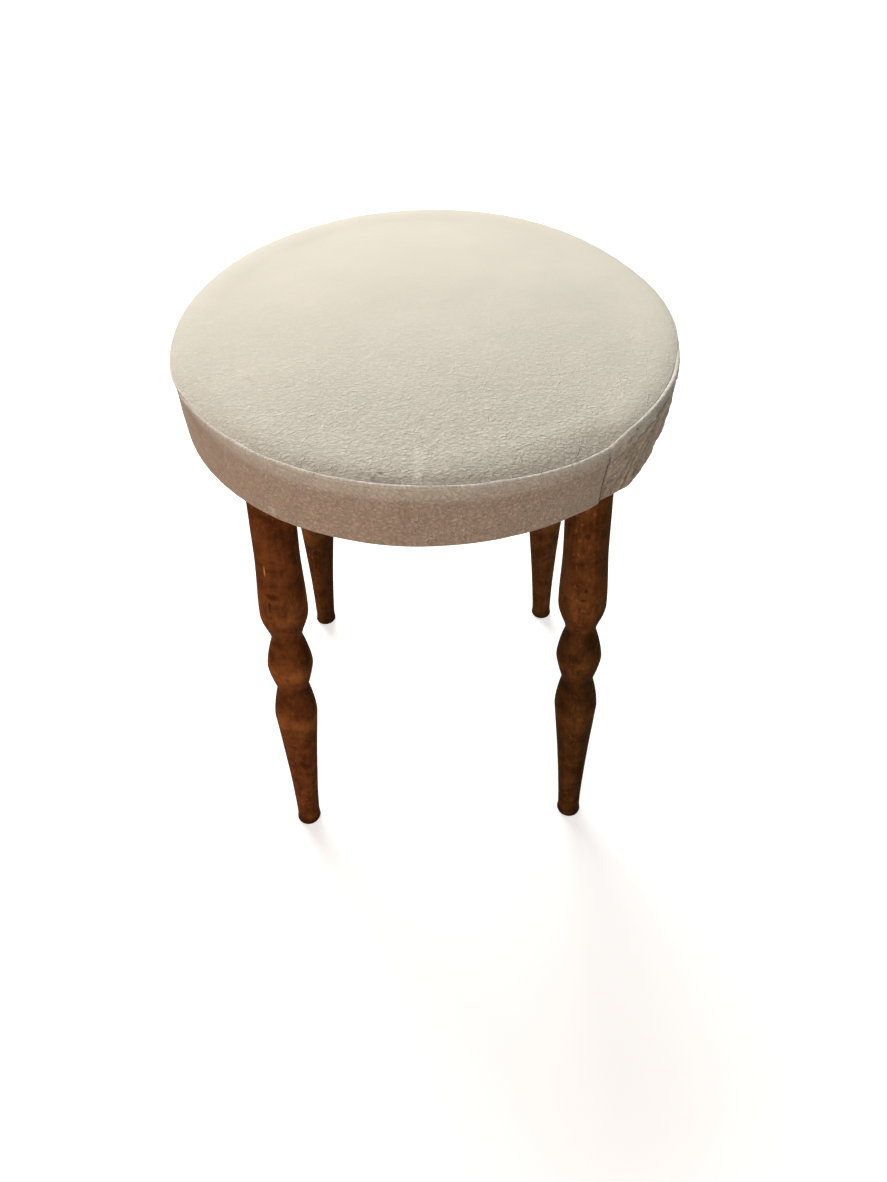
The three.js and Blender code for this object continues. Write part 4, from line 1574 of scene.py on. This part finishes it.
    def _hem_rings(self, azimuth: Array, step: Array, edge: Array) -> list[Array]:
        """Rings of the hem, pleated in under the board and cut back round each leg's bolt."""
        start = np.hypot(edge[:, 0], edge[:, 1])
        rise = self.form.low_edge - edge[:, 2]
        inner = self.hem_radius + self.hem_notch.at(np.degrees(azimuth) % 90 - 45)
        tucked = np.clip(-step / self.lap_step, 0, 1)
        layers = tucked * np.where(np.gradient(azimuth) < 0, self.hem_back, self.hem_tuck)
        pleats = np.abs(self.hem_pleats.at(azimuth)) ** self.hem_pleat_power * self.hem_pleat
        parts = [*zip((rise, pleats, layers), self.hem_settling, strict=True)]
        rings = []
        for share in np.linspace(0, 1, 15)[1:]:
            height = edge[:, 2] + sum(part * float(eased(share, 0, full)) for part, full in parts)
            rings.append(round_points(azimuth, start + (inner - start) * share, height))
        return rings

    def build_welt(self, cloth: Paint) -> Piece:
        """The covered cord along the seam, with the flat tail that is sewn in beside the band."""
        form = self.form
        azimuth = full_turn(self.welt_sides)
        degrees = front_degrees(azimuth)
        radius = form.rim(azimuth, form.seam) - self.welt_inset
        radius += sum(bulge.at(degrees) for bulge in self.welt_bulges)
        height = form.seam + self.welt_rise + form.lift(azimuth)
        points = round_points(azimuth, radius, height)
        height = height + self.welt_waves.at(points)
        shade = sum(tone.at(points) for tone in self.welt_tones) - self.welt_shadow.at(degrees)
        path = path_object("welt_cloth", round_points(azimuth, radius, height), True, shade)
        tree = GeometryTree("welt_along_the_seam")
        cord = tree.size("Cord radius", self.welt_radius)
        flange = tree.size("Flange", self.welt_flange)
        tail = tree.size("Half of the tail", self.welt_tail)
        inset = tree.size("Tail inset", self.tail_inset)
        finish = tree.finish("Cloth", cloth)
        circle = tree.node("GeometryNodeCurvePrimitiveCircle", {}, {"Resolution": 20, "Radius": cord})
        x, y, _ = tree.node("GeometryNodeInputPosition").triple().parts()
        necked, ended = (tree.math("GREATER_THAN", y, cord * share) for share in self.tail_shares)
        narrow = (tree.math("SIGN", x) * tail - inset) * necked
        keyhole = tree.vector(x * (1.0 - necked) + narrow, y * (1.0 - ended) + flange * ended, 0.0)
        outline = tree.node("GeometryNodeSetPosition", {}, {"Geometry": circle.out(), "Position": keyhole})
        upright = tree.node("GeometryNodeSetCurveNormal", {"mode": "Z_UP"}, {"Curve": tree.line()})
        sockets = {"Curve": upright.out(), "Profile Curve": outline.out()}
        tree.end(tree.node("GeometryNodeCurveToMesh", {}, sockets).out(), finish, True)
        return tree.run(path)

    def build_stitches(self, cloth: Paint) -> Piece:
        """The thread that runs along the seam allowance towards the lapped joint."""
        form = self.form
        degrees = np.linspace(*self.thread_ends, 120)
        azimuth = np.radians(degrees)
        height = self._thread_height(degrees) + form.lift(azimuth) * 0.5
        face = np.array([form.rim(np.array([a]), z)[0] + self._face(z) for a, z in zip(azimuth, height)])
        points = round_points(azimuth, face, height)
        face = face + self._crumple(degrees, height, points)[0] + self._lap_step(azimuth) + self.thread_proud
        path = path_object("seam_thread", round_points(azimuth, face, height), False)
        tree = GeometryTree("stitches_along_a_line")
        pitch = tree.size("Pitch", self.stitch_pitch)
        length = tree.size("Stitch", self.stitch)
        thread = tree.size("Thread radius", self.thread_radius)
        finish = tree.finish("Thread", cloth)
        sockets = {"Curve": tree.line(), "Length": pitch}
        steps = tree.node("GeometryNodeResampleCurve", {"mode": "LENGTH"}, sockets)
        tangent = tree.node("GeometryNodeInputTangent").triple()
        turned = tree.node("FunctionNodeAlignRotationToVector", {"axis": "Z"}, {"Vector": tangent})
        ball = tree.node("GeometryNodeMeshUVSphere", {}, {"Segments": 8, "Rings": 6, "Radius": 1.0})
        scale = tree.vector(thread, thread, length * 0.5)
        sockets = {"Points": steps.out(), "Instance": ball.out(), "Rotation": turned.out(), "Scale": scale}
        tree.end(tree.node("GeometryNodeInstanceOnPoints", {}, sockets).out(), finish, True)
        return tree.run(path)

    def dress(self, foam: Piece, finishes: Finishes) -> None:
        """Builds the cover's pieces with their material."""
        form = self.form
        panel = dressed(self.build_panel(foam), finishes.cloth)
        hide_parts("cover_top_panel")
        across = 2 * (form.radius + self.flange)
        area = math.pi * (across / 2) ** 2
        band = dressed(self.build_band(), finishes.cloth)
        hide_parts("cover_side_band")
        around = 2 * math.pi * form.radius + self.lap + self.fold_return
        down = self.allowance_drops[0] + form.seam - form.low_edge + form.radius - self.hem_radius
        welt = dressed(self.build_welt(finishes.welt), finishes.welt)
        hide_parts("seat_welt")
        dressed(self.build_stitches(finishes.cloth), finishes.cloth)


@dataclass
class DustCover:
    """Black lining that closes the underside, stapled on round its edge."""

    radius: float = 157.6 * MM
    thickness: float = 0.4 * MM
    sides: int = 288
    sag: float = 1.3 * MM
    edge_waves: float = 0.0012
    edge_count: int = 24
    leg_reach: float = 146 * MM
    flat_reach: float = 16 * MM
    slack_reach: float = 40 * MM
    ripple: float = 0.35 * MM
    ripple_count: int = 16
    ripple_span: Span = (0.55, 0.9, 0.94, 0.99)
    creases: Ripple = Ripple(22 * MM, 2.2, 0.25 * MM)
    bolt_width: float = 8 * MM
    bolt_clearance: float = 5 * MM
    cutter_reach: float = 5 * MM
    hole_sides: int = 20

    def build(self) -> Piece:
        """The lining, a little slack between its staples, with a hole for each leg's bolt."""
        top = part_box("dust_cover")[1].z
        azimuth = full_turn(self.sides)
        shares = np.concatenate([np.linspace(0.02, 0.94, 34), np.linspace(0.95, 1.0, 8)])
        wave = 1 + self.edge_waves * np.sin(azimuth * self.edge_count)
        radius = shares[:, None] * self.radius * wave
        quarter = (np.degrees(azimuth) % 90 - 45)[None, :]
        from_leg = np.hypot(radius - self.leg_reach, np.radians(quarter) * self.leg_reach)
        slack = eased(from_leg, self.flat_reach, self.slack_reach)
        share = radius / self.radius
        ripple = self.ripple * np.sin(azimuth * self.ripple_count) * between(share, self.ripple_span)
        creases = self.creases.at(round_points(azimuth, radius, np.zeros_like(radius)))
        height = top - slack * (self.sag * (1 - share**2) + np.abs(ripple) + np.abs(creases))
        flat = round_points(azimuth, radius, height)[::-1]
        lining = ringed_mesh("black_lining_cloth", flat, True, False, True)
        thickened(lining, self.thickness)
        self._cut_bolt_holes(lining)
        return lining

    def _cut_bolt_holes(self, lining: Piece) -> None:
        """Cuts a round hole in the lining where each hanger bolt passes."""
        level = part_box("dust_cover")[0].z
        turns = full_turn(self.hole_sides)
        for name in (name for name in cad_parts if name.startswith("hanger_bolt")):
            low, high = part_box(name)
            share = (level - low.z) / (high.z - low.z)
            outwards = Vector((math.copysign(1, low.x), math.copysign(1, low.y), 0))
            middle = (low + high) / 2 + outwards * (0.5 - share) * (high.x - low.x - self.bolt_width)
            ends = (level + self.cutter_reach, level - self.cutter_reach)
            rings = np.array([round_points(turns, self.bolt_clearance, end) for end in ends])
            tool = ringed_mesh("hole_tool", rings + np.array([middle.x, middle.y, 0]), True, True, True)
            cut = lining.modifiers.new("hole", "BOOLEAN")
            cut.operation = "DIFFERENCE"
            cut.object = tool
            settled(lining)
            bpy.data.objects.remove(tool)
        lining.data.shade_smooth()

    def dress(self, finishes: Finishes) -> None:
        """Builds the lining with its material."""
        lining = dressed(self.build(), finishes.lining)
        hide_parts("dust_cover")


class Sweep(Enum):
    """How a leg's radius changes between two stations."""

    LEAVES_SLOWLY = "leaves the lower station slowly"
    ARRIVES_SLOWLY = "arrives at the upper station slowly"
    BOTH = "leaves and arrives slowly"


@dataclass(frozen=True)
class Station:
    """A place along the turned leg with its radius, and the sweep that leads up to it."""

    name: str
    rise: float
    radius: float
    sweep: Sweep = Sweep.BOTH
    power: float = 1.4


@dataclass
class TurnedLegs:
    """Four turned and splayed legs, each made from one profile by Geometry Nodes."""

    seat_low_edge: float
    top_reach: float = 146 * MM
    splay: float = math.radians(4.44)
    sides: int = 64
    rings: int = 430
    end_blend: float = 14 * MM
    foot_radius: float = 10.9 * MM
    foot_round: float = 2.6 * MM
    groove_depth: float = 0.3 * MM
    groove_width: float = 0.55 * MM
    grooves: tuple[float, ...] = (203.5 * MM, 260.5 * MM, 251.0 * MM)
    hand_waves: float = 0.5 * MM
    hand_grain: float = 1.3
    stations: tuple[Station, ...] = (
        Station("Ankle", 10 * MM, 10.1 * MM),
        Station("Vase", 154 * MM, 17.4 * MM, Sweep.LEAVES_SLOWLY, 1.46),
        Station("Lower neck", 35 * MM, 12.2 * MM, Sweep.LEAVES_SLOWLY, 1.6),
        Station("Bead", 27 * MM, 17.6 * MM, Sweep.ARRIVES_SLOWLY, 1.3),
        Station("Upper neck", 30 * MM, 11.6 * MM, Sweep.LEAVES_SLOWLY, 1.4),
        Station("Swell", 29 * MM, 17.8 * MM),
        Station("Shaft", 59 * MM, 15.7 * MM),
        Station("Top", 62 * MM, 15.4 * MM),
    )

    def _profile(self, tree: GeometryTree, along: Value) -> Value:
        """The leg's radius at a distance along it, added up from its sweeps.

        Args:
            tree: The tree that the nodes go into.
            along: Distance from the foot, along the leg's own axis.

        Returns:
            The radius there.
        """
        radius = tree.size("Foot radius", self.foot_radius)
        before, start = radius, 0.0
        for station in self.stations:
            rise = tree.size(f"{station.name} rise", station.rise)
            reach = tree.size(f"{station.name} radius", station.radius)
            share = tree.rise(along, start, start + rise, smooth=station.sweep is Sweep.BOTH)
            if station.sweep is Sweep.LEAVES_SLOWLY:
                share = share**station.power
            elif station.sweep is Sweep.ARRIVES_SLOWLY:
                share = 1.0 - (1.0 - share) ** station.power
            radius = radius + (reach - before) * share
            before, start = reach, start + rise
        depth = tree.size("Groove depth", self.groove_depth)
        for height in self.grooves:
            radius = radius - depth * tree.bell(along, height, self.groove_width)
        edge = tree.size("Foot round", self.foot_round)
        inside = tree.math("MAXIMUM", edge - along, 0.0)
        return radius - edge + tree.math("SQRT", edge * edge - inside * inside)

    def build(self, corner: str, number: int, wood: Paint) -> Piece:
        """One leg, leaning outwards under its corner of the seat.

        Args:
            corner: The corner's name, as the CAD leg's name ends.
            number: The leg's number, which gives each leg its own grain.
            wood: The leg's material.

        Returns:
            The leg as a plain mesh.
        """
        low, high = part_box(f"leg_{corner}")
        middle = (low + high) / 2
        azimuth = math.atan2(math.copysign(1, middle.y), math.copysign(1, middle.x))
        length = self.seat_low_edge / math.cos(self.splay)
        top_gap = (self.seat_low_edge - high.z) / math.cos(self.splay)
        holder = path_object(f"turned_leg_{corner}", np.zeros((1, 3)), False)
        tree = GeometryTree(f"turning_{corner}")
        span = tree.size("Length", length - top_gap)
        lean = tree.size("Splay", self.splay)
        facing = tree.size("Azimuth", azimuth)
        foot = tree.size("Foot reach", self.top_reach + math.tan(self.splay) * self.seat_low_edge)
        sides = tree.count("Sides", self.sides)
        rings = tree.count("Rings", self.rings)
        leg_number = tree.size("Leg number", float(number))
        finish = tree.finish("Wood", wood)
        sockets = {"Vertices": sides, "Side Segments": rings, "Fill Segments": 4, "Radius": 1.0, "Depth": 1.0}
        blank = tree.node("GeometryNodeMeshCylinder", {"fill_type": "TRIANGLE_FAN"}, sockets)
        x, y, z = tree.node("GeometryNodeInputPosition").triple().parts()
        share = z + 0.5
        along = span * (share * share * 0.25 + share * 0.75)
        radius = self._profile(tree, along)
        stretched = tree.vector(x, y, along * 30.0) + (float(number) * 9, 0.0, 0.0)
        hand = tree.noise(stretched, self.hand_grain, 1.0)
        radius = radius + (hand - 0.5) * self.hand_waves
        out, side = x * radius, y * radius
        near_foot = 1.0 - tree.rise(along, 0.0, self.end_blend)
        near_top = tree.rise(along, span - self.end_blend, span)
        level = along - out * tree.math("TANGENT", lean) * (near_foot + near_top)
        cosine, sine = tree.math("COSINE", lean), tree.math("SINE", lean)
        reach = foot + out * cosine - level * sine
        height = level * cosine + out * sine
        ahead, across = tree.math("COSINE", facing), tree.math("SINE", facing)
        spot = tree.vector(reach * ahead - side * across, reach * across + side * ahead, height)
        grain = tree.vector(out * (1 / MM), side * (1 / MM), along * (1 / MM))
        marked = tree.store(blank.out(), "leg_place", "FLOAT_VECTOR", grain)
        marked = tree.store(marked, "leg_number", "FLOAT", leg_number)
        shaped = tree.node("GeometryNodeSetPosition", {}, {"Geometry": marked, "Position": spot})
        tree.end(shaped.out(), finish, True)
        return tree.run(holder)

    def dress(self, finishes: Finishes) -> None:
        """Builds the four legs with their material."""
        corners = ("front_left", "front_right", "back_right", "back_left")
        for number, corner in enumerate(corners):
            leg = dressed(self.build(corner, number, finishes.wood), finishes.wood)
            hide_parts(f"leg_{corner}")


@dataclass
class Fixings:
    """Staples between those of the CAD part, and the finishes of what the CAD part holds."""

    wire: float = 0.8 * MM
    flat_wire: float = 0.55 * MM
    crown: float = 10 * MM
    leg: float = 5 * MM
    wobble: float = 0.16
    corner_angles: tuple[float, ...] = (11.5, 17.0, 28.0, 33.5, 39.3, 50.7, 56.5, 62.0, 73.0, 78.5)

    def build_row(self, name: str, like: str, steel: Paint) -> Piece:
        """A row of staples at the reach and height of a CAD staple, in the spaces between them.

        Args:
            name: The new piece's name.
            like: The CAD staple that gives the row its place.
            steel: The staples' material.

        Returns:
            The row as one plain mesh.
        """
        low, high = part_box(like)
        middle = (low + high) / 2
        reach = math.hypot(middle.x, middle.y)
        angles = [45 + 90 * quarter + angle for quarter in range(4) for angle in self.corner_angles]
        azimuth = np.radians(np.array(angles))
        holder = path_object(name, round_points(azimuth, reach, low.z + self.wire / 2), False)
        tree = GeometryTree(name)
        crown = tree.size("Crown", self.crown)
        leg = tree.size("Leg", self.leg)
        wire = tree.size("Wire", self.wire)
        flat_wire = tree.size("Flat of the wire", self.flat_wire)
        finish = tree.finish("Steel", steel)
        line = tree.node("GeometryNodeCurvePrimitiveLine", {"mode": "POINTS"}, {"End": (0.0, 1.0, 0.0)})
        four = tree.node("GeometryNodeResampleCurve", {}, {"Curve": line.out(), "Count": 4})
        index = tree.node("GeometryNodeInputIndex").number()
        from_middle = index - 1.5
        outer = tree.math("GREATER_THAN", tree.math("ABSOLUTE", from_middle), 1.0)
        spot = tree.vector(0.0, tree.math("SIGN", from_middle) * crown * 0.5, leg * outer)
        bent = tree.node("GeometryNodeSetPosition", {}, {"Geometry": four.out(), "Position": spot})
        rounded = tree.node(
            "GeometryNodeFilletCurve", {"mode": "POLY"}, {"Curve": bent.out(), "Count": 3, "Radius": wire}
        )
        sockets = {"Width": flat_wire, "Height": wire}
        section = tree.node("GeometryNodeCurvePrimitiveQuadrilateral", {}, sockets)
        sockets = {"Curve": rounded.out(), "Profile Curve": section.out(), "Fill Caps": True}
        staple = tree.node("GeometryNodeCurveToMesh", {}, sockets)
        place_x, place_y, _ = tree.node("GeometryNodeInputPosition").triple().parts()
        turn = tree.math("ARCTAN2", place_y, place_x)
        sockets = {2: -self.wobble, 3: self.wobble, "Seed": len(name)}
        wobble = tree.node("FunctionNodeRandomValue", {"data_type": "FLOAT"}, sockets).number(1)
        sockets = {"Euler": tree.vector(0.0, 0.0, turn + wobble)}
        turned = tree.node("FunctionNodeEulerToRotation", {}, sockets)
        places = tree.entry.out("Geometry")
        sockets = {"Points": places, "Instance": staple.out(), "Rotation": turned.out()}
        tree.end(tree.node("GeometryNodeInstanceOnPoints", {}, sockets).out(), finish, False)
        return tree.run(holder)

    def dress(self, finishes: Finishes) -> None:
        """Builds the rows of staples, and gives the CAD nodes that stay their materials."""
        for name, like in (
            ("hem_tacking_staples", "hem_staple_2"),
            ("lining_tacking_staples", "dust_cover_staple_2"),
        ):
            dressed(self.build_row(name, like, finishes.staple), finishes.staple)
        by_start = {
            "seat_board": finishes.plywood,
            "hanger_bolt": finishes.zinc,
            "insert_nut": finishes.zinc,
            "hem_staple": finishes.staple,
            "dust_cover_staple": finishes.staple,
        }
        for name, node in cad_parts.items():
            for start, finish in by_start.items():
                if name.startswith(start):
                    node.data.materials.clear()
                    node.data.materials.append(finish)


@dataclass
class PhotoCamera:
    """The camera, looking down on the stool from the front as the photograph does."""

    place: tuple[float, float, float] = (0.0, -523.98 * MM, 752.94 * MM)
    down: float = math.radians(47.616)
    right: float = math.radians(1.044)
    roll: float = math.radians(-0.80)
    focal_pixels: float = 850.0
    picture_height: float = 1182.0
    sensor: float = 36.0
    nearest: float = 10 * MM

    def build(self) -> None:
        """Makes the camera and sets it as the scene's."""
        data = bpy.data.cameras.new("photo_camera")
        data.sensor_fit = "VERTICAL"
        data.sensor_height = self.sensor
        data.lens = self.sensor * self.focal_pixels / self.picture_height
        data.clip_start = self.nearest
        made = placed("photo_camera", data)
        turn = Matrix.Rotation(-self.right, 4, "Z")
        turn = turn @ Matrix.Rotation(math.pi / 2 - self.down, 4, "X")
        turn = turn @ Matrix.Rotation(self.roll, 4, "Z")
        made.matrix_world = Matrix.Translation(self.place) @ turn
        bpy.context.scene.camera = made


@dataclass(frozen=True)
class SoftLamp:
    """A square soft lamp, aimed at the middle of the stool."""

    name: str
    place: tuple[float, float, float]
    size: float
    power: float
    colour: Colour

    def build(self, target: Vector) -> None:
        """Makes the lamp and turns it towards the target."""
        data = bpy.data.lights.new(self.name, "AREA")
        data.shape = "SQUARE"
        data.size = self.size
        data.energy = self.power
        data.color = self.colour
        made = placed(self.name, data)
        made.location = self.place
        made.rotation_euler = (target - Vector(self.place)).to_track_quat("-Z", "Y").to_euler()


@dataclass
class Studio:
    """Plain pale floor, white surroundings and soft lamps."""

    white: Colour = (1.0, 1.0, 1.0)
    floor_half: float = 12.0
    aim_height: float = 0.35
    bounce: Colour = (0.29, 0.20, 0.16)
    lift: float = 0.60
    far_start: float = 0.5
    far_end: float = 1.4
    ambient: Colour = (0.085, 0.077, 0.068)
    lamps: tuple[SoftLamp, ...] = (
        SoftLamp("window", (-0.50, 1.45, 1.90), 1.5, 53.5, (1.0, 0.98, 0.94)),
        SoftLamp("front_fill", (-0.80, -1.55, 0.70), 1.3, 13.8, (1.0, 0.80, 0.68)),
        SoftLamp("side_fill", (1.50, -0.30, 0.60), 0.9, 3.3, (0.90, 0.96, 0.95)),
    )

    def _floor(self) -> None:
        """The floor: white to the eye, and a duller warm tone to the light that it throws back."""
        half = self.floor_half
        corners = [(-half, -half, 0.0), (half, -half, 0.0), (half, half, 0.0), (-half, half, 0.0)]
        mesh = bpy.data.meshes.new("studio_floor")
        mesh.from_pydata(corners, [], [(0, 1, 2, 3)])
        floor = placed("studio_floor", mesh)
        material = bpy.data.materials.new("white_floor")
        tree = NodeTree.cleared(material)
        seen = self._seen(tree)
        colour = tree.mix(seen, self.bounce, self.white)
        matt = tree.node("ShaderNodeBsdfDiffuse", {}, {"Color": colour})
        place = tree.node("ShaderNodeTexCoord").triple("Object")
        reach = tree.node("ShaderNodeVectorMath", {"operation": "LENGTH"}, {0: place}).number("Value")
        far = tree.rise(reach, self.far_start, self.far_end)
        glow_strength = seen * (self.lift + far * (1.0 - self.lift))
        glow = tree.node("ShaderNodeEmission", {}, {"Color": self.white, "Strength": glow_strength})
        both = tree.node("ShaderNodeAddShader", {}, {0: matt.out(), 1: glow.out()})
        tree.node("ShaderNodeOutputMaterial", {}, {"Surface": both.out()})
        mesh.materials.append(material)

    @staticmethod
    def _seen(tree: NodeTree) -> Value:
        """1 for rays that come from the camera, a reflection or a clear piece."""
        rays = tree.node("ShaderNodeLightPath")
        seen = rays.number("Is Camera Ray") + rays.number("Is Glossy Ray")
        return tree.math("MINIMUM", seen + rays.number("Is Transmission Ray"), 1.0)

    def _surroundings(self) -> None:
        """White where it shows, and a dim even light on the stool."""
        world = bpy.data.worlds.new("white_surroundings")
        tree = NodeTree.cleared(world)
        colour = tree.mix(self._seen(tree), self.ambient, self.white)
        sky = tree.node("ShaderNodeBackground", {}, {"Color": colour, "Strength": 1.0})
        tree.node("ShaderNodeOutputWorld", {}, {"Surface": sky.out()})
        bpy.context.scene.world = world

    def build(self) -> None:
        """Makes the floor, the surroundings and the lamps."""
        self._floor()
        self._surroundings()
        for lamp in self.lamps:
            lamp.build(Vector((0.0, 0.0, self.aim_height)))
        bpy.context.scene.view_settings.view_transform = "Standard"


def main() -> None:
    """Builds the camera and studio, then the stool's pieces from the inside out."""
    logging.basicConfig(level=logging.INFO, format="%(name)s: %(message)s")
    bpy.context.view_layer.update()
    PhotoCamera().build()
    Studio().build()
    finishes = Finishes()
    form = SeatForm.from_frame()
    padding = Padding(form)
    foam = padding.dress(finishes)
    Cover(form, padding).dress(foam, finishes)
    DustCover().dress(finishes)
    TurnedLegs(form.low_edge).dress(finishes)
    Fixings().dress(finishes)


if __name__ == "__main__":
    main()
